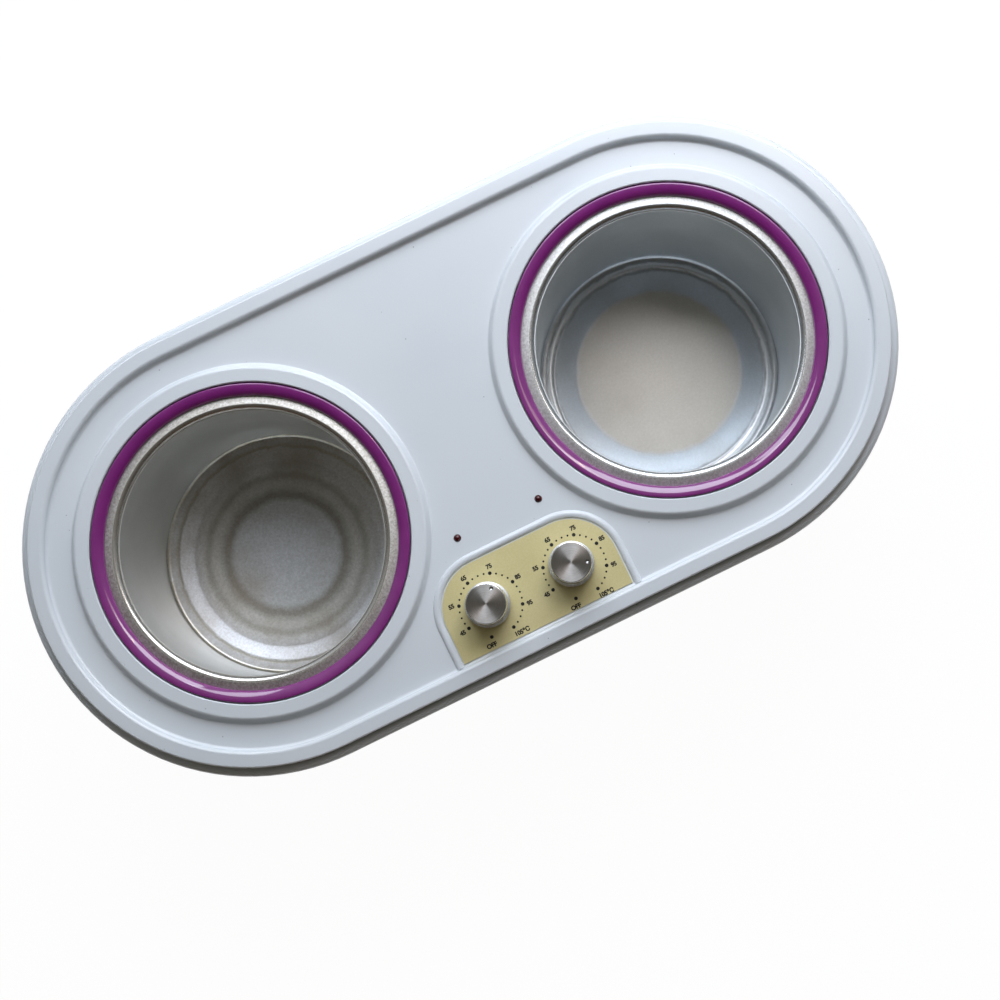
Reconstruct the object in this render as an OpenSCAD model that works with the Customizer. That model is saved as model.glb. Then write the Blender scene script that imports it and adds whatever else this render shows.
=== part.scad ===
// Double wax heater: two fixed aluminium wells in a long round-ended body,
// each with its own dial thermostat and pilot lamp.
// Millimetres. The origin is on the table, under the middle of the body.
// X runs along the body, -Y is the side of the control panel and +Z is up.

/* [Body] */
// Distance between the centres of the two wells
well_pitch = 186; // [180:1:200]
// Height of the deck above the table
deck_h = 119.8; // [110:0.2:140]
// Width of the deck's strip between a collar and the border
deck_w = 9.6; // [8:0.2:14]
// Height of the feet below the lower housing
foot_h = 4; // [3:0.5:8]
// Radius of the feet
foot_r = 7.5; // [6:0.5:9]
// Thickness of the moulded walls
wall_t = 2.6; // [2.2:0.1:3.2]
// Lean of the lower housing's wall, in degrees
draft = 2.4; // [1:0.2:3.4]
// Radius of the lower housing's bottom edge
base_round = 9; // [6:0.5:12]

/* [Top cover] */
// Height of the border, and of the collars, above the deck
border_h = 3; // [2.4:0.1:4]
// Width of the border's raised part
border_w = 5.1; // [4:0.1:6]
// Width of the housing's rim that shows outside the border
rim_w = 3.6; // [3:0.1:4.5]
// Drop from the border's top to the housing's rim
rim_drop = 4.4; // [3.5:0.1:5.5]
// Gap of the seam between the cover and the lower housing
seam_gap = 0.25; // [0.15:0.05:0.4]
// Depth of the cover's skirt inside the housing, below the housing's rim
skirt_depth = 9; // [6:0.5:14]
// Width of the raised collar round a well, from its recess out
collar_w = 7.4; // [6:0.1:10]
// Rounding of the collar's outer edge
collar_round = 1.6; // [0.8:0.1:2.2]
// Lean of the collar's outer wall, in degrees
collar_lean = 32; // [10:1:40]
// Depth of the recess in a collar, which takes the well's flange and the ring
seat_depth = 5.2; // [4.8:0.1:5.8]

/* [Wells] */
// Inside radius of a well
well_r = 53.5; // [50:0.5:56]
// Depth of a well, from its lip to its flat bottom
well_depth = 78; // [66:1:82]
// Thickness of the drawn aluminium
well_t = 1.2; // [1:0.1:1.6]
// Radius of the flat disc in the well's bottom
well_disc_r = 40; // [30:1:46]
// Rise of the sloping band round that disc
well_band_rise = 1.8; // [0.8:0.1:3]
// Rounding between the band and the well's wall
well_bottom_round = 4.2; // [3:0.1:6]
// Width of the well's rim, which slopes from the lip down to the ring
well_rim_w = 6.2; // [5:0.1:7]
// Height of the well's lip above its seating flange
lip_rise = 1.8; // [1.6:0.1:2.2]

/* [Rings] */
// Width of a ring
ring_w = 5; // [4.6:0.1:6]
// Height of a ring above the flange that it lies on
ring_h = 3.8; // [3.4:0.1:4.6]
// Gap between a ring and its collar
ring_gap = 0.5; // [0.3:0.1:1]

/* [Control panel] */
// Width of the panel plate
panel_w = 74.4; // [72:0.2:78]
// Length of the plate, from its top edge to its bottom edge
panel_l = 35.4; // [34:0.2:38]
// Gap between the plate's bottom edge and the foot of the border
panel_foot_gap = 0.1; // [0.1:0.1:1]
// Radius of the plate's two round corners
panel_round = 19.5; // [16:0.5:22]
// Thickness of the plate
panel_t = 0.5; // [0.3:0.1:0.8]
// Width of the bead round the plate
bead_w = 3.2; // [2.6:0.1:3.6]
// Height of the bead above the deck
bead_h = 1.1; // [0.6:0.1:1.6]

/* [Knobs] */
// Distance between the two knobs
knob_pitch = 37; // [36:0.2:39]
// Distance of the knobs from the plate's bottom edge
knob_inset = 17.2; // [15:0.2:18]
// Diameter of a knob at its base
knob_d = 18.3; // [16:0.1:20]
// Height of a knob
knob_h = 14; // [11:0.5:18]
// Bearing of the left knob's mark at rest, in degrees from +X
knob_left_mark = 44.7; // [-69:0.1:246]
// Bearing of the right knob's mark at rest, in degrees from +X
knob_right_mark = -23; // [-69:0.1:246]

/* [Thermostats] */
// Width of a thermostat's case
stat_w = 33; // [28:1:34]
// Length of a thermostat's case
stat_l = 37; // [30:1:38]
// Height of a thermostat's case
stat_h = 19; // [15:1:24]
// Diameter of the spindle
spindle_d = 6; // [5.5:0.1:6.4]
// Distance between the two mounting screws of a thermostat
stat_screw_pitch = 24; // [23:1:26]

/* [Heating] */
// Thickness of a heater band
band_t = 2.5; // [1.8:0.1:3.2]
// Height of a heater band above the well's flat bottom
band_clear_h = 14; // [10:1:20]
// Thickness of an insulation sleeve
sleeve_t = 8.5; // [6:0.5:9]
// Diameter of a sensor bulb
bulb_d = 6; // [5:0.5:7]
// Length of a sensor bulb
bulb_l = 46; // [30:1:48]

/* [Pilot lamps] */
// Distance between the two lamps
lamp_pitch = 36; // [32:0.5:40]
// Distance of the lamps from the plate's top edge
lamp_gap = 11.2; // [8:0.2:12]
// Diameter of a lamp's lens
lamp_d = 3; // [2.8:0.1:3.4]

/* [Cord entry] */
// Radius of the hole that takes the cord
gland_bore_r = 3.6; // [3:0.1:4.2]
// Height of the cord entry above the table
gland_z = 27; // [25:1:34]

/* [Hidden] */
$fn = 96;

LEFT = -1;
RIGHT = 1;
past = 1;             // how far a cutting solid runs past the face that it cuts
press_gap = 0.02;     // gap round a screw or spindle that is held fast
run_gap = 0.05;       // gap round a spindle that turns
lay_gap = 0.05;       // gap between a curved piece and what it lies against

// Levels, from the table up
under_deck_z = deck_h - wall_t;            // underside of the deck
border_z = deck_h + border_h;              // top of the border and the collars
flange_seat_z = border_z - seat_depth;     // floor of the recess in a collar
seat_under_z = flange_seat_z - wall_t;     // its underside
flange_top_z = flange_seat_z + well_t;
lip_z = flange_top_z + lip_rise;           // top of a well's lip
well_bottom_z = lip_z - well_depth;        // the flat disc inside a well
well_under_z = well_bottom_z - well_t;     // its underside
rim_z = border_z - rim_drop;               // top of the housing's rim
ledge_z = rim_z - skirt_depth;             // ledge that the cover's skirt stands on
floor_z = foot_h;                          // underside of the housing's floor
inside_z = floor_z + wall_t;               // top of the housing's floor
post_l = 56;                               // length of the housing's posts
post_split_z = floor_z + post_l;           // where the cover's posts meet the housing's

// Radii, from a well's centre out
well_out_r = well_r + well_t;
rim_end_r = well_r + well_rim_w;           // foot of the well's sloping rim
rim_lap = 0.6;                             // how far a ring laps over that rim
ring_in_r = rim_end_r - rim_lap;
ring_r = ring_in_r + ring_w;
flange_r = ring_r - 0.6;                   // the well's seating flange, just under the ring
stud_ring_r = flange_r - 2.2;
collar_hole_r = well_out_r + 2.2;
ring_seat_r = ring_r + ring_gap;
collar_r = ring_seat_r + collar_w;
step_round = 1.6;                          // convex round at the border's inner edge
step_fillet = border_h - step_round;       // concave fillet below it
border_foot_r = collar_r + deck_w;         // where the deck meets that fillet
border_in_r = border_foot_r + step_fillet;
cover_r = border_in_r + step_round + border_w; // outer face of the border
body_r = cover_r + seam_gap + rim_w;       // outer edge of the lower housing's rim
skirt_in_r = cover_r - wall_t;
band_in_r = well_out_r + lay_gap;
band_out_r = band_in_r + band_t;
sleeve_in_r = band_out_r + 0.3;
sleeve_out_r = sleeve_in_r + sleeve_t;

// The side of a well where the heater band is clamped and the sensor bulb lies,
// as a bearing from the right-hand well; the left-hand one is its mirror image
clamp_bearing = -120;
capillary_r = 0.9;
capillary_bend = 6;
capillary_z = seat_under_z - 1.6;          // the capillary runs just under the recess in the collar
bulb_top_z = capillary_z - capillary_bend;
band_bottom_z = well_bottom_z + band_clear_h;
band_top_z = bulb_top_z - 4;
band_h = band_top_z - band_bottom_z;
band_gap = 14;                             // opening between the band's two ends
sleeve_slot = 26;                          // opening in the sleeve at the same place
band_screw_axis_r = band_out_r + 6.4;      // distance of the clamp screws from the well's axis
bulb_axis_r = well_out_r + bulb_d / 2 + 0.1;

// Studs and screws
stud_r = 1.5;                              // M3
stud_bearings = [60, 180, 300];
nut_flats = 5.5;
nut_h = 2.4;
housing_screw_r = 1.7;
housing_screw_head_r = 3.4;
housing_screw_seat = 8;                    // depth of the recess under each screw head
housing_screw_bite = 14;                   // length of thread in the cover's post
post_r = 4.6;
post_inset = 15.8;                         // distance of the posts from the housing's rim
end_post_bearing = 45;
mid_post_x = 45;                           // distance of the middle posts from a well's axis, along the body
post_places = concat(
    [for (sx = [LEFT, RIGHT], sy = [-1, 1]) round_well(sx, sy, body_r - post_inset, end_post_bearing)],
    [for (sx = [LEFT, RIGHT], sy = [-1, 1]) [sx * (well_pitch / 2 - mid_post_x), sy * (body_r - post_inset)]]);

// The heat shield, on four stand-offs over the housing's floor
shield_t = 1;
shield_z = inside_z + 9;
shield_inset = 23.8;                       // distance of its edge from the housing's rim
shield_r = body_r - shield_inset;
shield_notch = [40, 16];                   // notch in its rear edge, for the wiring
standoff_r = 4;
standoff_inset = 15;
standoff_bearing = 68;
standoff_places = [for (sx = [LEFT, RIGHT], sy = [-1, 1])
    round_well(sx, sy, shield_r - standoff_inset, standoff_bearing)];
shield_screw_r = 1.5;

foot_inset = 33.1;
foot_bearing = 50.4;
foot_places = [for (sx = [LEFT, RIGHT], sy = [-1, 1]) round_well(sx, sy, body_r - foot_inset, foot_bearing)];
foot_recess = 1;

panel_bottom_y = border_foot_r - panel_foot_gap;
panel_top_y = panel_bottom_y - panel_l;
knob_y = panel_bottom_y - knob_inset;
lamp_y = panel_top_y - lamp_gap;

stat_bush_r = 4.5;
stat_plate_t = 1.2;
stat_screw_shank_r = 2;                    // M4
stat_screw_head_r = 3.7;
stat_screw_bite = 5;                       // depth of the thread in the thermostat's case
spindle_r = spindle_d / 2;
spindle_flat = 1.5;                        // distance of the flat from the spindle's axis
knob_base_z = deck_h + panel_t + 0.7;
knob_taper = 0.7;
knob_chamfer = 0.6;
knob_top_t = 2.6;
knob_wall = 1.5;
spindle_top_z = knob_base_z + knob_h - knob_top_t - 0.3;
spindle_bottom_z = under_deck_z - stat_plate_t - 12;
knob_hub_r = 5.2;
mark_r = 6.3;                              // distance of the mark from the knob's axis
mark_size = 0.9;

lamp_out = 0.9;                            // how far a lens stands above the deck
lamp_body_h = 5.4;
lamp_flange_r = lamp_d / 2 + 0.4;
lamp_board_z = deck_h - 16;
lamp_board_t = 1.6;
lamp_board_size = [50, 12];
lamp_post_x = 9;
lamp_post_r = 3;
lamp_screw_r = 1.1;

terminal_size = [34, 18, 15];
terminal_inset = 23;                       // distance of the terminal block from the shield's rear edge
terminal_y = shield_r - terminal_inset;
terminal_pole_pitch = 10;
terminal_screw_y = 4.5;
terminal_bore_r = 2.2;
terminal_screw_r = 1.6;

gland_body_r = gland_bore_r + 2.8;
gland_pad_r = gland_body_r + 5.6;
gland_pad_t = 4.4;
gland_pad_out_y = housing_r(gland_z) + 0.4;
gland_flange_t = 2.2;

// ---------------------------------------------------------------- shared shapes

// Points of an arc about [cx, cy], from bearing a0 to a1
function arc(cx, cy, r, a0, a1, steps = 8) =
    [for (i = [0:steps]) let (a = a0 + (a1 - a0) * i / steps) [cx + r * cos(a), cy + r * sin(a)]];

// A place at that distance and bearing from a well's centre, on one of the body's four corners
function round_well(sx, sy, r, bearing) = [sx * (well_pitch / 2 + r * cos(bearing)), sy * r * sin(bearing)];

// Outer radius of the lower housing's wall at height z
function housing_r(z) = body_r - (rim_z - z) * tan(draft);

// The round-ended outline that the body's pieces share
module stadium(r) {
    for (side = [LEFT, RIGHT]) translate([side * well_pitch / 2, 0]) circle(r);
    square([well_pitch, 2 * r], center = true);
}

// Sweeps a profile, drawn as [distance from the spine, height], round the stadium
module stadium_sweep() {
    for (side = [LEFT, RIGHT])
        translate([side * well_pitch / 2, 0, 0])
            rotate([0, 0, -side * 90])
                rotate_extrude(angle = 180) children();
    for (face = [0, 1])
        mirror([0, face, 0])
            translate([-well_pitch / 2, 0, 0])
                rotate([90, 0, 90]) linear_extrude(well_pitch) children();
}

// Puts a piece drawn about the right-hand well's axis on one of the two wells
module at_well(side) {
    translate([side * well_pitch / 2, 0, 0])
        mirror([side == LEFT ? 1 : 0, 0, 0]) children();
}

// Puts a piece drawn about a vertical axis on one of the two dial axes
module at_knob(side) {
    translate([side * knob_pitch / 2, -knob_y, 0]) children();
}

module on_bearing(bearing) {
    rotate([0, 0, bearing]) children();
}

module rod(r, z0, z1) {
    translate([0, 0, z0]) cylinder(h = z1 - z0, r = r);
}

module tube(r_out, r_in, z0, z1) {
    difference() {
        rod(r_out, z0, z1);
        rod(r_in, z0 - past, z1 + past);
    }
}

module nut(z0) {
    difference() {
        translate([0, 0, z0]) cylinder(h = nut_h, r = nut_flats / 2 / cos(30), $fn = 6);
        rod(stud_r + press_gap, z0 - past, z0 + nut_h + past);
    }
}

// Upright block with round vertical edges
module round_block(size, r, z0) {
    translate([0, 0, z0])
        linear_extrude(size[2]) round_rect(size[0], size[1], r);
}

module round_rect(w, l, r) {
    square([w - 2 * r, l], center = true);
    square([w, l - 2 * r], center = true);
    for (sx = [-1, 1], sy = [-1, 1])
        translate([sx * (w / 2 - r), sy * (l / 2 - r)]) circle(r);
}

module slot_shape(l, w) {
    square([l - w, w], center = true);
    for (s = [-1, 1]) translate([s * (l - w) / 2, 0]) circle(w / 2);
}

// ---------------------------------------------------------------- lower housing

// Section of the wall: outside face, rounded rim, ledge for the cover, inside face
module housing_wall_profile() {
    corner_r = housing_r(floor_z + base_round * (1 - sin(draft))) - base_round * cos(draft);
    rim_round = 2;
    rim_centre_r = housing_r(rim_z - rim_round * (1 + sin(draft))) - rim_round * cos(draft);
    ledge_t = 2.4;
    ledge_foot_z = ledge_z - ledge_t - 4;
    polygon(concat(
        [[shield_r, floor_z]],
        arc(corner_r, floor_z + base_round, base_round, -90, -draft, 10),
        arc(rim_centre_r, rim_z - rim_round, rim_round, -draft, 90),
        [[cover_r + seam_gap, rim_z], [cover_r + seam_gap, ledge_z], [skirt_in_r, ledge_z],
         [skirt_in_r, ledge_z - ledge_t], [housing_r(ledge_foot_z) - wall_t, ledge_foot_z]],
        arc(corner_r, floor_z + base_round, base_round - wall_t, -draft, -90, 10),
        [[shield_r, inside_z]]));
}

module vent_slots() {
    slot_l = 30;
    slot_w = 3;
    slot_pitch = 8;
    row_y = 20;
    for (side = [LEFT, RIGHT], row = [-1, 1], i = [-4:4])
        translate([side * well_pitch / 2 + i * slot_pitch, row * row_y, floor_z - past])
            rotate([0, 0, 90]) linear_extrude(wall_t + 2 * past) slot_shape(slot_l, slot_w);
}

module lower_housing() {
    color("#dfe4ea") difference() {
        union() {
            stadium_sweep() housing_wall_profile();
            translate([0, 0, floor_z]) linear_extrude(wall_t) stadium(shield_r + past);
            for (p = post_places) translate(p) rod(post_r, floor_z + wall_t / 2, post_split_z);
            for (p = standoff_places) translate(p) rod(standoff_r, floor_z + wall_t / 2, shield_z);
            for (p = foot_places) translate(p) rod(foot_r + 2, floor_z + wall_t / 2, inside_z + foot_recess);
            translate([0, gland_pad_out_y, gland_z])
                rotate([90, 0, 0]) cylinder(h = gland_pad_t, r = gland_pad_r);
        }
        for (p = post_places) translate(p) {
            rod(housing_screw_r + 0.1, floor_z - past, post_split_z + past);
            rod(housing_screw_head_r + 0.4, floor_z - past, floor_z + housing_screw_seat);
        }
        for (p = standoff_places) translate(p)
            rod(shield_screw_r + press_gap, inside_z + 0.5, shield_z + past);
        for (p = foot_places) translate(p) rod(foot_r, floor_z - past, floor_z + foot_recess);
        translate([0, gland_pad_out_y + past, gland_z])
            rotate([90, 0, 0]) cylinder(h = gland_pad_t + 2 * past, r = gland_body_r);
        vent_slots();
    }
}

module feet() {
    edge = 1;
    color("#2b2b2b") for (p = foot_places) translate(p)
        rotate_extrude() polygon([[0, 0], [foot_r - edge - 0.6, 0], [foot_r - 0.6, edge],
            [foot_r - press_gap, foot_h], [foot_r - press_gap, foot_h + foot_recess], [0, foot_h + foot_recess]]);
}

module housing_screws() {
    seat_z = floor_z + housing_screw_seat;
    head_h = 2.6;
    color("#9aa0a6") for (p = post_places) translate(p) {
        rod(housing_screw_r, seat_z - head_h / 2, post_split_z + housing_screw_bite);
        difference() {
            rod(housing_screw_head_r, seat_z - head_h, seat_z);
            for (a = [0, 90]) rotate([0, 0, a])
                translate([0, 0, seat_z - head_h]) cube([3.6, 0.9, 2.4], center = true);
        }
    }
}

// ---------------------------------------------------------------- top cover

// Section of the border and its skirt, with the rounded step down to the deck
module border_profile() {
    edge = 0.8;
    polygon(concat(
        [[collar_r, under_deck_z], [skirt_in_r, under_deck_z], [skirt_in_r, ledge_z], [cover_r, ledge_z]],
        arc(cover_r - edge, border_z - edge, edge, 0, 90, 4),
        arc(border_in_r + step_round, border_z - step_round, step_round, 90, 180),
        arc(border_foot_r, deck_h + step_fillet, step_fillet, 0, -90),
        [[collar_r, deck_h]]));
}

// Section of a collar: recess for the flange and ring, flat top, leaning outer wall between two rounds
module collar_profile() {
    fillet = 0.9;
    seat_edge = 0.4;
    foot_r = collar_r + fillet;
    wall_h = border_h - (collar_round + fillet) * (1 - sin(collar_lean));
    top_r = foot_r - (collar_round + fillet) * cos(collar_lean) - wall_h * tan(collar_lean);
    polygon(concat(
        [[collar_hole_r, seat_under_z], [ring_seat_r + wall_t, seat_under_z], [ring_seat_r + wall_t, under_deck_z],
         [foot_r, under_deck_z]],
        arc(foot_r, deck_h + fillet, fillet, -90, collar_lean - 180, 5),
        arc(top_r, border_z - collar_round, collar_round, collar_lean, 90),
        [[ring_seat_r + seat_edge, border_z], [ring_seat_r, border_z - seat_edge],
         [ring_seat_r, flange_seat_z], [collar_hole_r, flange_seat_z]]));
}

// Outline of the panel plate, grown outwards by grow
module panel_shape(grow = 0) {
    half_w = panel_w / 2 + grow;
    corner_x = panel_w / 2 - panel_round;
    corner_y = -panel_top_y - panel_round;
    intersection() {
        for (s = [-1, 1]) translate([s * corner_x, corner_y]) circle(panel_round + grow);
        translate([-half_w, corner_y]) square([2 * half_w, panel_round + grow]);
    }
    translate([-corner_x, -panel_bottom_y]) square([2 * corner_x, panel_bottom_y - panel_top_y + grow]);
    translate([-half_w, -panel_bottom_y]) square([2 * half_w, panel_bottom_y + corner_y]);
}

// Half-round section of the bead, standing on the deck, about its own middle
module bead_section() {
    curve_r = (pow(bead_w / 2, 2) + pow(bead_h, 2)) / 2 / bead_h;
    sweep = asin(bead_w / 2 / curve_r);
    polygon(concat([[-bead_w / 2, -wall_t / 2]], arc(0, bead_h - curve_r, curve_r, 90 + sweep, 90 - sweep, 10),
        [[bead_w / 2, -wall_t / 2]]));
}

// The raised bead: two sides, two quarter turns and the run along the top
module panel_bead() {
    gap = 0.5;
    bend_r = panel_round + gap + bead_w / 2;
    corner_x = panel_w / 2 - panel_round;
    corner_y = -panel_top_y - panel_round;
    side_end_y = -border_foot_r - past;
    for (m = [0, 1]) mirror([m, 0, 0]) {
        translate([corner_x, corner_y, deck_h]) {
            rotate_extrude(angle = 90) translate([bend_r, 0]) bead_section();
            translate([bend_r, 0, 0]) rotate([90, 0, 0])
                linear_extrude(corner_y - side_end_y) bead_section();
        }
        translate([0, corner_y + bend_r, deck_h])
            rotate([90, 0, 90]) linear_extrude(corner_x) bead_section();
    }
}

module top_cover() {
    rib_h = 7;
    rib_t = 1.8;
    post_foot_z = post_split_z;
    color("#e6eaef") difference() {
        union() {
            stadium_sweep() border_profile();
            difference() {
                translate([0, 0, under_deck_z]) linear_extrude(wall_t) stadium(collar_r + past);
                for (side = [LEFT, RIGHT]) at_well(side)
                    rod(ring_seat_r + wall_t / 2, under_deck_z - past, deck_h + past);
            }
            for (side = [LEFT, RIGHT]) at_well(side) {
                rotate_extrude() collar_profile();
                difference() {
                    tube(sleeve_out_r + 0.4 + rib_t, sleeve_out_r + 0.4, under_deck_z - rib_h, under_deck_z + past);
                    on_bearing(clamp_bearing) translate([sleeve_out_r, 0, under_deck_z - rib_h])
                        cube([8, sleeve_slot + 8, 2 * rib_h], center = true);
                }
            }
            panel_bead();
            for (p = post_places) translate(p) rod(post_r, post_foot_z, under_deck_z + past);
            for (s = [-1, 1]) translate([s * lamp_post_x, -lamp_y, 0])
                rod(lamp_post_r, lamp_board_z, under_deck_z + past);
        }
        for (side = [LEFT, RIGHT]) {
            at_well(side) for (a = stud_bearings) on_bearing(a) translate([stud_ring_r, 0, 0])
                rod(stud_r + 0.2, seat_under_z - past, flange_seat_z + past);
            at_knob(side) {
                rod(stat_bush_r + 0.3, under_deck_z - past, deck_h + past);
                for (s = [-1, 1]) translate([0, s * stat_screw_pitch / 2, 0]) {
                    rod(stat_screw_shank_r + 0.2, under_deck_z - past, deck_h + past);
                    translate([0, 0, deck_h - (stat_screw_head_r - stat_screw_shank_r)])
                        cylinder(h = stat_screw_head_r - stat_screw_shank_r + 0.2,
                            r1 = stat_screw_shank_r + 0.2, r2 = stat_screw_head_r + 0.4);
                }
            }
            translate([side * lamp_pitch / 2, -lamp_y, 0])
                rod(lamp_d / 2 + 0.05, under_deck_z - past, deck_h + past);
        }
        for (p = post_places) translate(p)
            rod(housing_screw_r + press_gap, post_foot_z - past, post_split_z + housing_screw_bite + 4);
        for (s = [-1, 1]) translate([s * lamp_post_x, -lamp_y, 0])
            rod(lamp_screw_r + press_gap, lamp_board_z - past, lamp_board_z + 8);
    }
}

module control_panel() {
    color("#cfc48a") difference() {
        translate([0, 0, deck_h]) linear_extrude(panel_t) panel_shape();
        for (side = [LEFT, RIGHT]) at_knob(side)
            rod(spindle_r + 0.6, deck_h - past, deck_h + panel_t + past);
    }
}

// ---------------------------------------------------------------- wells

// Section of a drawn well: disc, sloping band, wall, small step, rolled lip and stepped flange
module well_profile() {
    round_z = well_bottom_z + well_band_rise + well_bottom_round;
    band_r = well_r - well_bottom_round;
    lip_round = 1.5;
    lip_step = 0.35;
    rim_slope = 14;
    lip_r = well_r + lip_step + lip_round;
    lip_end = [lip_r + lip_round * sin(rim_slope), lip_z - lip_round * (1 - cos(rim_slope))];
    rim_end_z = lip_end[1] - (rim_end_r - lip_end[0]) * tan(rim_slope);
    rim_foot = 0.8;
    skin = well_t / cos(rim_slope);
    under_r = well_out_r + 1;
    polygon(concat(
        [[0, well_bottom_z], [well_disc_r, well_bottom_z]],
        arc(band_r, round_z, well_bottom_round, -90, 0),
        [[well_r, lip_z - lip_round - lip_step], [well_r + lip_step, lip_z - lip_round - lip_step]],
        arc(lip_r, lip_z - lip_round, lip_round, 180, 90 - rim_slope),
        [[rim_end_r, rim_end_z], [rim_end_r + rim_foot, flange_top_z], [flange_r, flange_top_z],
         [flange_r, flange_seat_z], [rim_end_r, flange_seat_z],
         [rim_end_r - rim_foot, rim_end_z - skin + rim_foot * tan(rim_slope)],
         [under_r, rim_end_z - skin + (rim_end_r - under_r) * tan(rim_slope)],
         [well_out_r, rim_end_z - 2 * well_t]],
        arc(band_r, round_z, well_bottom_round + well_t, 0, -90),
        [[well_disc_r, well_under_z], [0, well_under_z]]));
}

module well(side) {
    stud_l = 7;
    cutout_stud_l = 6;
    color("#c4c6c6") at_well(side) {
        rotate_extrude() well_profile();
        for (a = stud_bearings) on_bearing(a) translate([stud_ring_r, 0, 0])
            rod(stud_r, flange_seat_z - stud_l, flange_seat_z + well_t / 2);
        for (s = [-1, 1]) translate([s * cutout_hole_x, 0, 0])
            rod(stud_r, well_under_z - cutout_stud_l, well_under_z + well_t / 2);
    }
}

// Section of a ring: highest at its outer edge, rounded down to its inner edge,
// with its foot on the well's flange
module ring_profile() {
    shoulder = 0.6;
    foot_in_r = rim_end_r + 1.05;
    nose = 0.3;                            // how far the inner edge stands above the foot's inside corner
    inner_z = lip_z - 0.7;
    crown_r = ring_r - shoulder;
    crown_z = flange_top_z + ring_h;
    steps = 16;
    polygon(concat(
        [[ring_r, flange_top_z]],
        arc(crown_r, crown_z - shoulder, shoulder, 0, 90, 4),
        [for (i = [1:steps]) let (a = 90 * i / steps)
            [crown_r - (crown_r - ring_in_r) * sin(a), inner_z + (crown_z - inner_z) * cos(a)]],
        [[foot_in_r, inner_z - nose], [foot_in_r, flange_top_z]]));
}

module ring(side) {
    color("#a0249c") at_well(side) rotate_extrude() ring_profile();
}

module well_nuts() {
    color("#b8b8b0") for (side = [LEFT, RIGHT]) at_well(side)
        for (a = stud_bearings) on_bearing(a) translate([stud_ring_r, 0, 0]) nut(seat_under_z - nut_h);
}

// ---------------------------------------------------------------- heating

lug_t = 1.4;
lug_w = 12;
lug_out = 12.5;
lug_inset = 12;                            // distance of the lugs from the band's edges
lug_levels = [lug_inset, band_h - lug_inset];
band_screw_r = 2;
band_screw_spare = 4;                      // length of thread past the lug
band_nut_h = 2.8;

module heater_band(side) {
    color("#b9b4a6") at_well(side) on_bearing(clamp_bearing) difference() {
        union() {
            difference() {
                tube(band_out_r, band_in_r, band_bottom_z, band_bottom_z + band_h);
                translate([band_in_r, 0, band_bottom_z + band_h / 2])
                    cube([4 * band_t + past, band_gap, band_h + 2 * past], center = true);
            }
            for (level = lug_levels, s = [-1, 1])
                translate([band_in_r + 0.4, s * (band_gap / 2 + lug_t / 2), band_bottom_z + level])
                    translate([0, -lug_t / 2, -lug_w / 2]) cube([lug_out, lug_t, lug_w]);
        }
        for (level = lug_levels) translate([band_screw_axis_r, 0, band_bottom_z + level])
            rotate([90, 0, 0]) cylinder(h = 2 * band_gap, r = band_screw_r + 0.1, center = true);
    }
}

module band_screws() {
    reach = band_gap / 2 + lug_t;
    head_h = 2.4;
    color("#9aa0a6") for (side = [LEFT, RIGHT], level = lug_levels)
        at_well(side) on_bearing(clamp_bearing) translate([band_screw_axis_r, 0, band_bottom_z + level])
            rotate([90, 0, 0]) {
                translate([0, 0, -reach - band_screw_spare])
                    cylinder(h = 2 * reach + band_screw_spare + head_h / 2, r = band_screw_r);
                translate([0, 0, reach]) cylinder(h = head_h, r = band_screw_r + 1.5);
                translate([0, 0, -reach - band_nut_h]) cylinder(h = band_nut_h, r = 2 * band_screw_r, $fn = 6);
            }
}

module insulation(side) {
    sleeve_z0 = band_bottom_z - 5;
    sleeve_z1 = seat_under_z - 1.8;
    nut_room_r = 3.8;
    color("#e8dcb8") at_well(side) on_bearing(clamp_bearing) difference() {
        tube(sleeve_out_r, sleeve_in_r, sleeve_z0, sleeve_z1);
        translate([sleeve_out_r, 0, (sleeve_z0 + sleeve_z1) / 2])
            cube([3 * sleeve_t, sleeve_slot, sleeve_z1 - sleeve_z0 + 2 * past], center = true);
        for (a = stud_bearings) on_bearing(a - clamp_bearing) translate([stud_ring_r, 0, 0])
            rod(nut_room_r, seat_under_z - 6, seat_under_z);
    }
}

// Where a sensor's capillary leaves the thermostat, seen from its well's axis
function capillary_start() = [knob_pitch / 2 + stat_w / 2 + 0.3 - well_pitch / 2, -knob_y + 8];
function bulb_place() = [bulb_axis_r * cos(clamp_bearing), bulb_axis_r * sin(clamp_bearing)];

module sensor(side) {
    run = bulb_place() - capillary_start();
    run_l = norm(run);
    bearing = atan2(run[1], run[0]);
    color("#b9784a") at_well(side) {
        translate(bulb_place()) {
            rod(bulb_d / 2, bulb_top_z - bulb_l, bulb_top_z - 1);
            translate([0, 0, bulb_top_z - 1]) cylinder(h = 2, r1 = bulb_d / 2, r2 = capillary_r + 0.4);
        }
        translate([capillary_start()[0], capillary_start()[1], capillary_z]) rotate([0, 0, bearing]) {
            rotate([0, 90, 0]) cylinder(h = run_l - capillary_bend, r = capillary_r);
            translate([run_l - capillary_bend, 0, -capillary_bend])
                rotate([90, 0, 0]) rotate_extrude(angle = 90) translate([capillary_bend, 0]) circle(capillary_r);
        }
    }
}

cutout_hole_x = 12;
cutout_plate = [32, 10, 0.8];
cutout_plate_z = well_under_z - cutout_plate[2];

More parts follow.
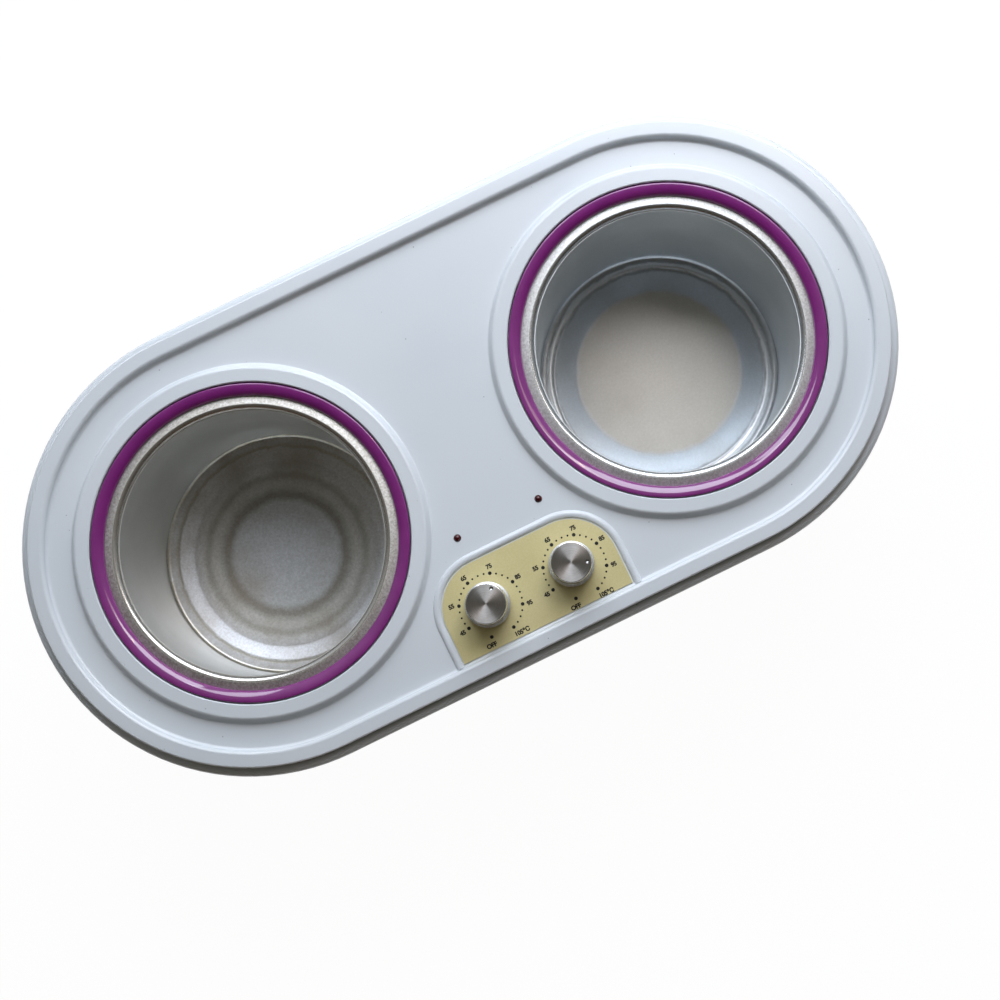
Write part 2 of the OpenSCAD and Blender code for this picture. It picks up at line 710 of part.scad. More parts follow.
module cutout(side) {
    corner = 4;
    tab = [0.8, 6.3, 9];
    tab_x = 4.5;
    case_r = 7.9;
    case_h = 7;
    color("#3a3a3c") at_well(side) {
        difference() {
            round_block(cutout_plate, corner, cutout_plate_z);
            for (s = [-1, 1]) translate([s * cutout_hole_x, 0, 0])
                rod(stud_r + 0.15, cutout_plate_z - past, well_under_z + past);
        }
        rod(case_r, cutout_plate_z - case_h, cutout_plate_z + cutout_plate[2] / 2);
        for (s = [-1, 1]) translate([s * tab_x - tab[0] / 2, -tab[1] / 2, cutout_plate_z - case_h - tab[2]])
            cube([tab[0], tab[1], tab[2] + 0.5]);
    }
}

module cutout_nuts() {
    color("#b8b8b0") for (side = [LEFT, RIGHT], s = [-1, 1]) at_well(side)
        translate([s * cutout_hole_x, 0, 0]) nut(cutout_plate_z - nut_h);
}

// ---------------------------------------------------------------- thermostats and knobs

module thermostat(side) {
    plate_z = under_deck_z - stat_plate_t;
    edge = 1;
    tab = [0.8, 6.3, 8];
    tab_pitch = 9;
    tab_y = 4;
    boss = [4, 6, 5];                      // where the capillary comes out
    boss_y = 5;
    color("#4a4038") at_knob(side) difference() {
        union() {
            round_block([stat_w + edge, stat_l + edge, stat_plate_t], 2 * edge, plate_z);
            round_block([stat_w - 2 * edge, stat_l - 2 * edge, stat_h - stat_plate_t], 3 * edge, under_deck_z - stat_h);
            rod(stat_bush_r, plate_z, deck_h - 0.2);
            for (i = [-1:1]) translate([i * tab_pitch - tab[0] / 2, tab_y, under_deck_z - stat_h - tab[2]])
                cube([tab[0], tab[1], tab[2] + 0.5]);
            translate([side * stat_w / 2 - (side == RIGHT ? boss[0] : 0), boss_y, capillary_z - 0.6 * boss[2]]) cube(boss);
        }
        rod(spindle_r + run_gap, spindle_bottom_z - 0.5, deck_h + past);
        for (s = [-1, 1]) translate([0, s * stat_screw_pitch / 2, 0])
            rod(stat_screw_shank_r + press_gap, plate_z - stat_screw_bite, under_deck_z + past);
    }
}

module thermostat_screws() {
    color("#c9ccd0") for (side = [LEFT, RIGHT], s = [-1, 1]) at_knob(side)
        translate([0, s * stat_screw_pitch / 2, 0]) {
            head_h = stat_screw_head_r - stat_screw_shank_r;
            rod(stat_screw_shank_r, under_deck_z - stat_screw_bite - 0.5, deck_h - head_h);
            difference() {
                translate([0, 0, deck_h - head_h - 0.1])
                    cylinder(h = head_h, r1 = stat_screw_shank_r, r2 = stat_screw_head_r);
                for (a = [0, 90]) rotate([0, 0, a])
                    translate([0, 0, deck_h]) cube([3.6, 0.8, 2], center = true);
            }
        }
}

function knob_mark(side) = side == LEFT ? knob_left_mark : knob_right_mark;

// Plan of the spindle, with its flat turned away from the mark
module spindle_plan(r, flat) {
    difference() {
        circle(r);
        translate([-2 * r - flat, -r - past]) square([2 * r, 2 * (r + past)]);
    }
}

module spindle(side) {
    flat_z = deck_h + panel_t + 2;
    color("#c2b280") at_knob(side) on_bearing(knob_mark(side)) {
        rod(spindle_r, spindle_bottom_z, flat_z);
        translate([0, 0, flat_z]) linear_extrude(spindle_top_z - flat_z) spindle_plan(spindle_r, spindle_flat);
    }
}

// Section of a turned knob: tapered side, chamfered top, hollow round a hub
module knob_profile() {
    base_r = knob_d / 2;
    top_r = base_r - knob_taper;
    inside_z = knob_h - knob_top_t;
    polygon([[0, inside_z], [0, knob_h], [top_r - knob_chamfer, knob_h], [top_r, knob_h - knob_chamfer],
        [base_r, 1.2], [base_r, 0.3], [base_r - 0.3, 0], [base_r - knob_wall, 0],
        [top_r - knob_wall, inside_z]]);
}

module knob(side) {
    color("#b9bbbd") at_knob(side) translate([0, 0, knob_base_z]) on_bearing(knob_mark(side)) difference() {
        union() {
            rotate_extrude() knob_profile();
            rod(knob_hub_r, 1, knob_h - knob_top_t / 2);
        }
        translate([0, 0, -past])
            linear_extrude(spindle_top_z + 0.3 - knob_base_z + past)
                spindle_plan(spindle_r + press_gap, spindle_flat + press_gap);
        translate([0, 0, -past]) linear_extrude(past + deck_h + panel_t + 2.2 - knob_base_z)
            circle(spindle_r + press_gap);
        translate([mark_r, 0, knob_h + 0.35]) sphere(mark_size);
    }
}

// ---------------------------------------------------------------- pilot lamps

module lamp(side) {
    lens_top_z = deck_h + lamp_out;
    base_z = lens_top_z - lamp_body_h;
    lead = 0.5;
    color("#5a0f14") translate([side * lamp_pitch / 2, -lamp_y, 0]) {
        rod(lamp_d / 2, base_z, lens_top_z - lamp_d / 2);
        translate([0, 0, lens_top_z - lamp_d / 2]) intersection() {
            sphere(lamp_d / 2);
            translate([0, 0, lamp_d / 2]) cube(lamp_d, center = true);
        }
        rod(lamp_flange_r, base_z, min(base_z + 1, under_deck_z - 0.1));
        for (s = [-1, 1]) translate([s * 1.27 - lead / 2, -lead / 2, lamp_board_z])
            cube([lead, lead, base_z - lamp_board_z + 0.3]);
    }
}

module lamp_board() {
    color("#2f6b3a") difference() {
        translate([0, -lamp_y, 0])
            round_block([lamp_board_size[0], lamp_board_size[1], lamp_board_t], 1, lamp_board_z - lamp_board_t);
        for (s = [-1, 1]) translate([s * lamp_post_x, -lamp_y, 0])
            rod(lamp_screw_r + 0.1, lamp_board_z - lamp_board_t - past, lamp_board_z + past);
    }
}

module lamp_board_screws() {
    under_z = lamp_board_z - lamp_board_t;
    color("#9aa0a6") for (s = [-1, 1]) translate([s * lamp_post_x, -lamp_y, 0]) {
        rod(lamp_screw_r, under_z, lamp_board_z + 6);
        rod(2.2, under_z - 1.6, under_z);
    }
}

// ---------------------------------------------------------------- base fittings

module heat_shield() {
    color("#bfc3c6") difference() {
        translate([0, 0, shield_z]) linear_extrude(shield_t) stadium(shield_r);
        for (p = standoff_places) translate(p)
            rod(shield_screw_r + 0.2, shield_z - past, shield_z + shield_t + past);
        translate([0, shield_r, shield_z - past])
            linear_extrude(shield_t + 2 * past) round_rect(shield_notch[0], shield_notch[1], 3);
    }
}

module shield_screws() {
    top_z = shield_z + shield_t;
    color("#9aa0a6") for (p = standoff_places) translate(p) {
        rod(shield_screw_r, inside_z + 1.5, top_z);
        rod(2.8, top_z, top_z + 2);
    }
}

module terminal_block() {
    z0 = shield_z + shield_t;
    h = terminal_size[2];
    color("#e9e7df") translate([0, terminal_y, 0]) difference() {
        round_block(terminal_size, 1.5, z0);
        for (i = [-1:1]) translate([i * terminal_pole_pitch, 0, 0]) {
            translate([0, terminal_size[1] / 2 + past, z0 + h / 2]) rotate([90, 0, 0])
                cylinder(h = terminal_size[1] + 2 * past, r = terminal_bore_r);
            for (s = [-1, 1]) translate([0, s * terminal_screw_y, 0])
                rod(terminal_screw_r + press_gap, z0 + h / 2, z0 + h + past);
        }
    }
}

module terminal_screws() {
    z0 = shield_z + shield_t + terminal_size[2] / 2;
    color("#c8b060") for (i = [-1:1], s = [-1, 1])
        translate([i * terminal_pole_pitch, terminal_y + s * terminal_screw_y, 0])
            difference() {
                rod(terminal_screw_r, z0 + terminal_bore_r + 0.3, z0 + terminal_size[2] / 2 - 1);
                translate([0, 0, z0 + terminal_size[2] / 2 - 1]) cube([4, 0.7, 1.6], center = true);
            }
}

module cord_gland() {
    inner_t = 2;
    barb = 1;
    color("#303236") translate([0, gland_pad_out_y, gland_z]) rotate([90, 0, 0]) difference() {
        union() {
            translate([0, 0, -gland_flange_t]) cylinder(h = gland_flange_t, r = gland_body_r + 2.4);
            translate([0, 0, -gland_flange_t / 2])
                cylinder(h = gland_pad_t + gland_flange_t / 2 + inner_t, r = gland_body_r - press_gap);
            translate([0, 0, gland_pad_t]) cylinder(h = inner_t, r1 = gland_body_r + barb, r2 = gland_body_r - barb / 2);
        }
        translate([0, 0, -gland_flange_t - past])
            cylinder(h = gland_pad_t + gland_flange_t + inner_t + 2 * past, r = gland_bore_r);
    }
}

lower_housing();
top_cover();
control_panel();
well(LEFT);  // left_well
well(RIGHT);  // right_well
ring(LEFT);  // left_ring
ring(RIGHT);  // right_ring
well_nuts();
heater_band(LEFT);  // left_heater_band
heater_band(RIGHT);  // right_heater_band
band_screws();
insulation(LEFT);  // left_insulation
insulation(RIGHT);  // right_insulation
sensor(LEFT);  // left_sensor
sensor(RIGHT);  // right_sensor
cutout(LEFT);  // left_cutout
cutout(RIGHT);  // right_cutout
cutout_nuts();
thermostat(LEFT);  // left_thermostat
thermostat(RIGHT);  // right_thermostat
thermostat_screws();
spindle(LEFT);  // left_spindle
spindle(RIGHT);  // right_spindle
knob(LEFT);  // left_knob
knob(RIGHT);  // right_knob
lamp(LEFT);  // left_lamp
lamp(RIGHT);  // right_lamp
lamp_board();
lamp_board_screws();
heat_shield();
shield_screws();
terminal_block();
terminal_screws();
cord_gland();
feet();
housing_screws();
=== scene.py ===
import math

import bpy
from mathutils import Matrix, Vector


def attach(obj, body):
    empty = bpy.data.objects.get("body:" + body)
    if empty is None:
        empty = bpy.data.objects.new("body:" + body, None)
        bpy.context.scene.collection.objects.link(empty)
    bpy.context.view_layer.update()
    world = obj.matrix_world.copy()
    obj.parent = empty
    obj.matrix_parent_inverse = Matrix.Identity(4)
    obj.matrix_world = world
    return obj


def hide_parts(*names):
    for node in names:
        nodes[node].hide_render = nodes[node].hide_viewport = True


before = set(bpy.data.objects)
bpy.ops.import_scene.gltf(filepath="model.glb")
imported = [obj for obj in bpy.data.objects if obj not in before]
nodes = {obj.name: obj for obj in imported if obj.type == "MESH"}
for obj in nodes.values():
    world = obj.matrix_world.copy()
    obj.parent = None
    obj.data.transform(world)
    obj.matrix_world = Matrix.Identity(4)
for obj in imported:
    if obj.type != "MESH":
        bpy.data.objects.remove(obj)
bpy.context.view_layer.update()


# ------------------------------------------------------------------ camera
# The photograph looks almost straight down, a little from the front, with the
# heater's long side rising to the right. Its frame is a crop, hence the shift.
CAMERA_PLACE = (0.0091, -0.09648, 0.75782)       # m, as are all places here
CAMERA_TURNS = (4.544, 0.922, -25.987)           # degrees: tip, roll and turn in the picture

lens = bpy.data.cameras.new("camera")
lens.lens = 57.6                                 # mm, with the sensor's 36 mm
lens.sensor_width = 36
lens.shift_x = -0.06
lens.shift_y = 0.02
lens.clip_start = 0.01
camera = bpy.data.objects.new("camera", lens)
camera.location = CAMERA_PLACE
camera.rotation_euler = [math.radians(a) for a in CAMERA_TURNS]
bpy.context.scene.collection.objects.link(camera)
bpy.context.scene.camera = camera
bpy.context.scene.view_settings.view_transform = "Standard"


# ------------------------------------------------------------------ floor and light
# A white table close to a window of two panes, beyond the heater, and with a
# dimmer one to its right. The near side of the room is dim and brown.
TO_WINDOW = Vector((0.437, 0.900, 0.0))          # level direction from the heater to the window
WALL_END, CEILING_START = 0.2, 0.85              # heights of view, as sines of the angle of sight
BACKDROP_END = 0.3                               # below it the camera sees a plain pale backdrop
HEATER_TOP = Vector((0, 0, 0.12))                # where every lamp is aimed
TABLE_SIZE = 6                                   # m, each way
SHOWN_WHITE = 0.95                               # the rest is paint, which takes the heater's shadow


def colour(hex_code):
    """An sRGB hex value as linear numbers."""
    parts = [int(hex_code[i:i + 2], 16) / 255 for i in (1, 3, 5)]
    return [p / 12.92 if p <= 0.04045 else ((p + 0.055) / 1.055) ** 2.4 for p in parts] + [1.0]


def feed(tree, node, inputs):
    """Sets a shader node's inputs to values, hex colours, outputs, or another node's first output."""
    for name, value in inputs.items():
        if isinstance(value, str):
            value = colour(value)
        if isinstance(value, bpy.types.Node):
            value = next(output for output in value.outputs if output.enabled)
        if isinstance(value, bpy.types.NodeSocket):
            tree.links.new(value, node.inputs[name])
        else:
            node.inputs[name].default_value = value


def add(tree, kind, inputs=None, stops=(), **settings):
    """Adds a node with its settings and links; stops are the places and hex colours of a ramp."""
    new = tree.nodes.new(kind)
    for name, value in settings.items():
        setattr(new, name, value)
    feed(tree, new, inputs or {})
    for number, (place, shade) in enumerate(stops):
        stop = new.color_ramp.elements[number] if number < 2 else new.color_ramp.elements.new(place)
        stop.position = place
        stop.color = colour(shade)
    return new


world = bpy.data.worlds.new("daylight_room")
bpy.context.scene.world = world
world.use_nodes = True
tree = world.node_tree
tree.nodes.clear()
looking = add(tree, "ShaderNodeTexCoord").outputs["Generated"]
ahead = add(tree, "ShaderNodeVectorMath", {0: looking, 1: TO_WINDOW}, operation="DOT_PRODUCT")
across = add(tree, "ShaderNodeMapRange",
             {"Value": ahead.outputs["Value"], "From Min": -1.0, "From Max": 1.0})
walls = add(tree, "ShaderNodeValToRGB", {"Fac": across}, stops=(
    (0.0, "#5e4828"), (0.22, "#33291b"), (0.5, "#565148"), (0.7, "#9fa5a9"), (1.0, "#dfe7ef")))
height = add(tree, "ShaderNodeSeparateXYZ", {"Vector": looking}).outputs["Z"]
upward = add(tree, "ShaderNodeMapRange",
             {"Value": height, "From Min": WALL_END, "From Max": CEILING_START},
             interpolation_type="SMOOTHSTEP")
ceiling = add(tree, "ShaderNodeValToRGB", {"Fac": across}, stops=(
    (0.1, "#2b2216"), (0.38, "#443b2b"), (0.5, "#645f55"), (0.62, "#a2a2a0"), (0.9, "#e6ebf0")))
room = add(tree, "ShaderNodeMix", {"Factor": upward, "A": walls, "B": ceiling}, data_type="RGBA")
sky = add(tree, "ShaderNodeBackground", {"Color": room, "Strength": 0.88})
pale = add(tree, "ShaderNodeBackground", {"Color": "#f4f5f5", "Strength": 1.0})
rays = add(tree, "ShaderNodeLightPath").outputs
low = add(tree, "ShaderNodeMath", {0: height, 1: BACKDROP_END}, operation="LESS_THAN")
backdrop = add(tree, "ShaderNodeMath", {0: low, 1: rays["Is Camera Ray"]}, operation="MULTIPLY")
surroundings = add(tree, "ShaderNodeMixShader", {0: backdrop, 1: sky, 2: pale})
add(tree, "ShaderNodeOutputWorld", {"Surface": surroundings})


def lamp(name, place, width, length, watts, tint):
    """A rectangular lamp, of sides in metres, that faces the heater's top."""
    light = bpy.data.lights.new(name, "AREA")
    light.shape = "RECTANGLE"
    light.size = width
    light.size_y = length
    light.energy = watts
    light.color = colour(tint)[:3]
    new = bpy.data.objects.new(name, light)
    new.location = place
    new.rotation_euler = (HEATER_TOP - Vector(place)).to_track_quat("-Z", "Y").to_euler()
    bpy.context.scene.collection.objects.link(new)


lamp("window_left_pane", (0.01, 0.555, 0.57), 0.20, 0.62, 1.75, "#eff4ff")
lamp("window_right_pane", (0.33, 0.410, 0.57), 0.40, 0.62, 4.2, "#eff4ff")
lamp("side_window", (0.63, 0.275, 1.10), 0.3, 0.45, 0.8, "#ffe9dc")
lamp("ceiling_lamp", (1.05, 0.70, 1.75), 0.035, 0.035, 0.35, "#ffb27a")

bpy.ops.mesh.primitive_plane_add(size=TABLE_SIZE, location=(0, 0, 0))
floor = bpy.context.object
floor.name = "floor"
white_table = bpy.data.materials.new("white_table_top")
white_table.use_nodes = True
tree = white_table.node_tree
tree.nodes.clear()
rays = add(tree, "ShaderNodeLightPath").outputs
seen = add(tree, "ShaderNodeMath", {0: rays["Is Camera Ray"], 1: rays["Is Glossy Ray"]},
           operation="MAXIMUM")
seen = add(tree, "ShaderNodeMath", {0: seen, 1: rays["Is Transmission Ray"]}, operation="MAXIMUM")
share = add(tree, "ShaderNodeMath", {0: seen, 1: SHOWN_WHITE}, operation="MULTIPLY")
table_paint = add(tree, "ShaderNodeBsdfDiffuse", {"Color": "#e6e6e6"})
white = add(tree, "ShaderNodeEmission", {"Color": "#ffffff", "Strength": 1.02})
top = add(tree, "ShaderNodeMixShader", {0: share, 1: table_paint, 2: white})
add(tree, "ShaderNodeOutputMaterial", {"Surface": top})
floor.data.materials.append(white_table)


# ------------------------------------------------------------------ feet and cord gland
# Four rubber feet, pushed into shallow recesses of the housing's floor, and the
# rubber gland in the rear wall, which is snapped into its pad from outside.

def material(name, inputs):
    """A new material, its node tree and its principled shader, whose inputs it sets."""
    new = bpy.data.materials.new(name)
    new.use_nodes = True
    shader = new.node_tree.nodes["Principled BSDF"]
    feed(new.node_tree, shader, inputs)
    return new, new.node_tree, shader


def put(finish, *names):
    """Gives CAD nodes their finish."""
    for name in names:
        nodes[name].data.materials.clear()
        nodes[name].data.materials.append(finish)


# Moulded rubber: near black and dull, with a fine even tooth. Here and below, a
# pattern's scale is 1000 divided by its size in millimetres.
rubber, tree, shader = material("moulded_rubber", {"Roughness": 0.62})
place = add(tree, "ShaderNodeTexCoord").outputs["Object"]
tooth = add(tree, "ShaderNodeTexNoise", {"Vector": place, "Scale": 1000 / 0.8, "Detail": 3.0})
shades = add(tree, "ShaderNodeValToRGB", {"Fac": tooth}, stops=((0.3, "#1d1e20"), (0.7, "#2e2f31")))
bump = add(tree, "ShaderNodeBump", {"Height": tooth, "Strength": 0.3, "Distance": 0.0001})
feed(tree, shader, {"Base Color": shades, "Normal": bump})
put(rubber, "feet", "cord_gland")


# ------------------------------------------------------------------ lower housing
# The tub is injection-moulded ABS, glossy and slightly blue, with a rounded
# base, vents under each well and a pad at the rear for the cord gland.
SAME_CORNER = 0.000004                           # m: corners closer than this are one
SPECK_CELL = 19                                  # mm: each cell has one speck of dust at most
SPECK_FREE = 0.35                                # share of the cells that have none
LARGEST_SPECK = 0.3                              # mm, its radius
SPECK_STRENGTH = 0.55


def shaded(piece, angle):
    """Smooth shading up to that angle in degrees, with the large faces kept flat."""
    bpy.ops.object.select_all(action="DESELECT")
    bpy.context.view_layer.objects.active = piece
    piece.select_set(True)
    bpy.ops.object.shade_smooth_by_angle(angle=math.radians(angle))
    weigh = piece.modifiers.new("weigh", "WEIGHTED_NORMAL")
    weigh.keep_sharp = True
    weigh.weight = 100
    bpy.ops.object.modifier_apply(modifier="weigh")


def merged_copy(name):
    """A copy of a CAD node with its loose triangles merged, for smoother shading."""
    bpy.ops.object.select_all(action="DESELECT")
    new = bpy.data.objects.new(name + "_skin", nodes[name].data.copy())
    bpy.context.scene.collection.objects.link(new)
    bpy.context.view_layer.objects.active = new
    new.select_set(True)
    bpy.ops.object.mode_set(mode="EDIT")
    bpy.ops.mesh.select_all(action="SELECT")
    bpy.ops.mesh.remove_doubles(threshold=SAME_CORNER)
    bpy.ops.object.mode_set(mode="OBJECT")
    if new.data.has_custom_normals:
        bpy.ops.mesh.customdata_custom_splitnormals_clear()
    new.data.materials.clear()
    shaded(new, angle=32)
    return new


# Moulded ABS: bluish white, glossy with a very faint orange peel, and a few
# dark specks of dust on the faces that look up.
abs_white, tree, shader = material("moulded_abs", {"IOR": 1.53})
place = add(tree, "ShaderNodeTexCoord").outputs["Object"]
cloud = add(tree, "ShaderNodeTexNoise", {"Vector": place, "Scale": 1000 / 60, "Detail": 2.0})
tint = add(tree, "ShaderNodeValToRGB", {"Fac": cloud}, stops=((0.3, "#d0d7dc"), (0.7, "#d5dbdf")))
cells = add(tree, "ShaderNodeTexVoronoi", {"Vector": place, "Scale": 1000 / SPECK_CELL},
            voronoi_dimensions="2D")
chance = add(tree, "ShaderNodeSeparateColor", {"Color": cells.outputs["Color"]}).outputs["Red"]
reach = add(tree, "ShaderNodeMapRange", {
    "Value": chance, "From Min": SPECK_FREE, "From Max": 1.0, "To Max": LARGEST_SPECK / SPECK_CELL})
speck = add(tree, "ShaderNodeMath", {0: cells.outputs["Distance"], 1: reach}, operation="LESS_THAN")
normal = add(tree, "ShaderNodeNewGeometry").outputs["Normal"]
facing = add(tree, "ShaderNodeSeparateXYZ", {"Vector": normal}).outputs["Z"]
level = add(tree, "ShaderNodeMath", {0: facing, 1: 0.98}, operation="GREATER_THAN")
speck = add(tree, "ShaderNodeMath", {0: speck, 1: level}, operation="MULTIPLY")
speck = add(tree, "ShaderNodeMath", {0: speck, 1: SPECK_STRENGTH}, operation="MULTIPLY")
dusty = add(tree, "ShaderNodeMix", {"Factor": speck, "A": tint, "B": "#4c4a48"}, data_type="RGBA")
peel = add(tree, "ShaderNodeTexNoise", {"Vector": place, "Scale": 1000 / 3, "Detail": 1.0})
bump = add(tree, "ShaderNodeBump", {"Height": peel, "Strength": 0.1, "Distance": 0.0001})
rub = add(tree, "ShaderNodeMapRange", {"Value": cloud, "To Min": 0.16, "To Max": 0.24})
feed(tree, shader, {"Base Color": dusty, "Roughness": rub, "Normal": bump})

lower_housing = merged_copy("lower_housing")
lower_housing.data.materials.append(abs_white)
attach(lower_housing, "body")
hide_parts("lower_housing")


# ------------------------------------------------------------------ heat shield and heater bands
# A plate of aluminised sheet steel, screwed to four stand-offs of the floor,
# and the two heater bands, jacketed in the same sheet and clamped round the wells.

# Aluminised steel: pale grey, softly mottled by the dipping, with rolling lines along X.
aluminised, tree, shader = material("aluminised_sheet_steel", {"Metallic": 1.0})
place = add(tree, "ShaderNodeTexCoord").outputs["Object"]
mottle = add(tree, "ShaderNodeTexNoise", {"Vector": place, "Scale": 1000 / 7, "Detail": 4.0})
shades = add(tree, "ShaderNodeValToRGB", {"Fac": mottle}, stops=((0.35, "#a9aaa6"), (0.65, "#bdbdb8")))
drawn = add(tree, "ShaderNodeMapping", {"Vector": place, "Scale": (0.05, 1.0, 1.0)})
lines = add(tree, "ShaderNodeTexNoise", {"Vector": drawn, "Scale": 1000 / 0.5, "Detail": 2.0})
bump = add(tree, "ShaderNodeBump", {"Height": lines, "Strength": 0.2, "Distance": 0.00005})
worn = add(tree, "ShaderNodeMapRange", {"Value": mottle, "To Min": 0.3, "To Max": 0.5})
feed(tree, shader, {"Base Color": shades, "Roughness": worn, "Normal": bump})
put(aluminised, "heat_shield", "left_heater_band", "right_heater_band")


# ------------------------------------------------------------------ screws and nuts
# All are cold formed from steel wire or bar and zinc plated, with a blue
# passivation. None of them shows from above on the finished heater.

# Zinc plating: bluish grey and half bright, with a faint cloudy bloom.
zinc, tree, shader = material("zinc_plated_steel", {"Metallic": 1.0})
place = add(tree, "ShaderNodeTexCoord").outputs["Object"]
bloom = add(tree, "ShaderNodeTexNoise", {"Vector": place, "Scale": 1000 / 1.6, "Detail": 3.0})
shades = add(tree, "ShaderNodeValToRGB", {"Fac": bloom}, stops=((0.35, "#a7adb3"), (0.65, "#c3c8cb")))
worn = add(tree, "ShaderNodeMapRange", {"Value": bloom, "To Min": 0.22, "To Max": 0.42})
feed(tree, shader, {"Base Color": shades, "Roughness": worn})
put(zinc, "well_nuts", "band_screws", "cutout_nuts", "thermostat_screws", "lamp_board_screws",
    "shield_screws", "housing_screws")


# ------------------------------------------------------------------ terminal block and brass parts
# A three-pole block of moulded nylon stands on the heat shield. Its clamp screws
# are turned from brass, and so are the two spindles that the knobs are pressed on.

# Nylon: milky, waxy and slightly see-through at the edges.
nylon, tree, shader = material("moulded_nylon", {
    "Roughness": 0.42, "Subsurface Weight": 0.15, "Subsurface Scale": 0.001, "IOR": 1.53})
place = add(tree, "ShaderNodeTexCoord").outputs["Object"]
haze = add(tree, "ShaderNodeTexNoise", {"Vector": place, "Scale": 1000 / 6, "Detail": 2.0})
shades = add(tree, "ShaderNodeValToRGB", {"Fac": haze}, stops=((0.3, "#e2dfd3"), (0.7, "#ece9df")))
feed(tree, shader, {"Base Color": shades})
put(nylon, "terminal_block")

# Turned brass: warm yellow, with fine lathe marks round each axis.
brass, tree, shader = material("turned_brass", {"Metallic": 1.0, "Roughness": 0.26})
place = add(tree, "ShaderNodeTexCoord").outputs["Object"]
cuts = add(tree, "ShaderNodeMapping", {"Vector": place, "Scale": (0.1, 0.1, 1.0)})
marks = add(tree, "ShaderNodeTexNoise", {"Vector": cuts, "Scale": 1000 / 0.3, "Detail": 1.0})
shades = add(tree, "ShaderNodeValToRGB", {"Fac": marks}, stops=((0.3, "#b99a55"), (0.7, "#d8bd78")))
bump = add(tree, "ShaderNodeBump", {"Height": marks, "Strength": 0.25, "Distance": 0.00003})
feed(tree, shader, {"Base Color": shades, "Normal": bump})
put(brass, "terminal_screws", "left_spindle", "right_spindle")


# ------------------------------------------------------------------ sensors
# Each thermostat's copper bulb lies against its well, and a thin copper
# capillary, bent by hand, leads from it to the thermostat.

# Drawn copper: orange-brown, dulled in clouds by handling and heat.
copper, tree, shader = material("drawn_copper", {"Metallic": 1.0})
place = add(tree, "ShaderNodeTexCoord").outputs["Object"]
tarnish = add(tree, "ShaderNodeTexNoise", {"Vector": place, "Scale": 1000 / 5, "Detail": 4.0})
shades = add(tree, "ShaderNodeValToRGB", {"Fac": tarnish}, stops=((0.35, "#9a6242"), (0.6, "#cf8f68")))
worn = add(tree, "ShaderNodeMapRange", {"Value": tarnish, "To Min": 0.45, "To Max": 0.22})
feed(tree, shader, {"Base Color": shades, "Roughness": worn})
put(copper, "left_sensor", "right_sensor")


# ------------------------------------------------------------------ insulation
# A sleeve of ceramic fibre felt stands round each heater band and keeps its heat
# in. Its slot leaves room for the band's lugs and clamp screws.

# Ceramic felt: cream and dead matt, with short crossed fibres.
felt, tree, shader = material("ceramic_felt", {"Roughness": 0.95, "Sheen Weight": 0.2})
place = add(tree, "ShaderNodeTexCoord").outputs["Object"]
fibre = add(tree, "ShaderNodeTexNoise",
            {"Vector": place, "Scale": 1000 / 1.4, "Detail": 6.0, "Distortion": 1.5})
shades = add(tree, "ShaderNodeValToRGB", {"Fac": fibre}, stops=((0.3, "#cfc3a4"), (0.7, "#ebe2cb")))
bump = add(tree, "ShaderNodeBump", {"Height": fibre, "Strength": 0.7, "Distance": 0.0004})
feed(tree, shader, {"Base Color": shades, "Normal": bump})
put(felt, "left_insulation", "right_insulation")


# ------------------------------------------------------------------ thermostats and cut-outs
# Switch cases of moulded phenolic, the thermostats on the deck's underside and
# the thermal cut-outs under the wells' bottoms.

# Phenolic: brownish black, half glossy, with a fine grain of filler.
phenolic, tree, shader = material("moulded_phenolic", {"IOR": 1.6})
place = add(tree, "ShaderNodeTexCoord").outputs["Object"]
filler = add(tree, "ShaderNodeTexNoise", {"Vector": place, "Scale": 1000 / 0.6, "Detail": 3.0})
shades = add(tree, "ShaderNodeValToRGB", {"Fac": filler}, stops=((0.35, "#1f1b19"), (0.7, "#332c28")))
worn = add(tree, "ShaderNodeMapRange", {"Value": filler, "To Min": 0.32, "To Max": 0.5})
feed(tree, shader, {"Base Color": shades, "Roughness": worn})
put(phenolic, "left_thermostat", "right_thermostat", "left_cutout", "right_cutout")


# ------------------------------------------------------------------ lamp board
# A small board of glass-fibre laminate, held by two screws under the deck.
# Both pilot lamps are soldered to it.

# Solder mask over woven glass: dark green and glossy, with the weave just showing.
# The scale gives a thread every 2.4 mm, coarser than real, so that it shows.
WEAVE_SCALE = 1000 / 7.5
laminate, tree, shader = material("green_laminate", {
    "Roughness": 0.3, "Coat Weight": 0.5, "Coat Roughness": 0.15})
place = add(tree, "ShaderNodeTexCoord").outputs["Object"]
warp = add(tree, "ShaderNodeTexWave", {"Vector": place, "Scale": WEAVE_SCALE}, bands_direction="X")
weft = add(tree, "ShaderNodeTexWave", {"Vector": place, "Scale": WEAVE_SCALE}, bands_direction="Y")
weave = add(tree, "ShaderNodeMath", {0: warp, 1: weft}, operation="MULTIPLY")
shades = add(tree, "ShaderNodeValToRGB", {"Fac": weave}, stops=((0.0, "#123a20"), (1.0, "#1d5230")))
bump = add(tree, "ShaderNodeBump", {"Height": weave, "Strength": 0.15, "Distance": 0.00005})
feed(tree, shader, {"Base Color": shades, "Normal": bump})
put(laminate, "lamp_board")


# ------------------------------------------------------------------ top cover
# One moulding of the same ABS, dropped into the housing's rim: the raised
# border, the deck, a collar round each well and the bead round the panel.
top_cover = merged_copy("top_cover")
top_cover.data.materials.append(abs_white)
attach(top_cover, "body")
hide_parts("top_cover")


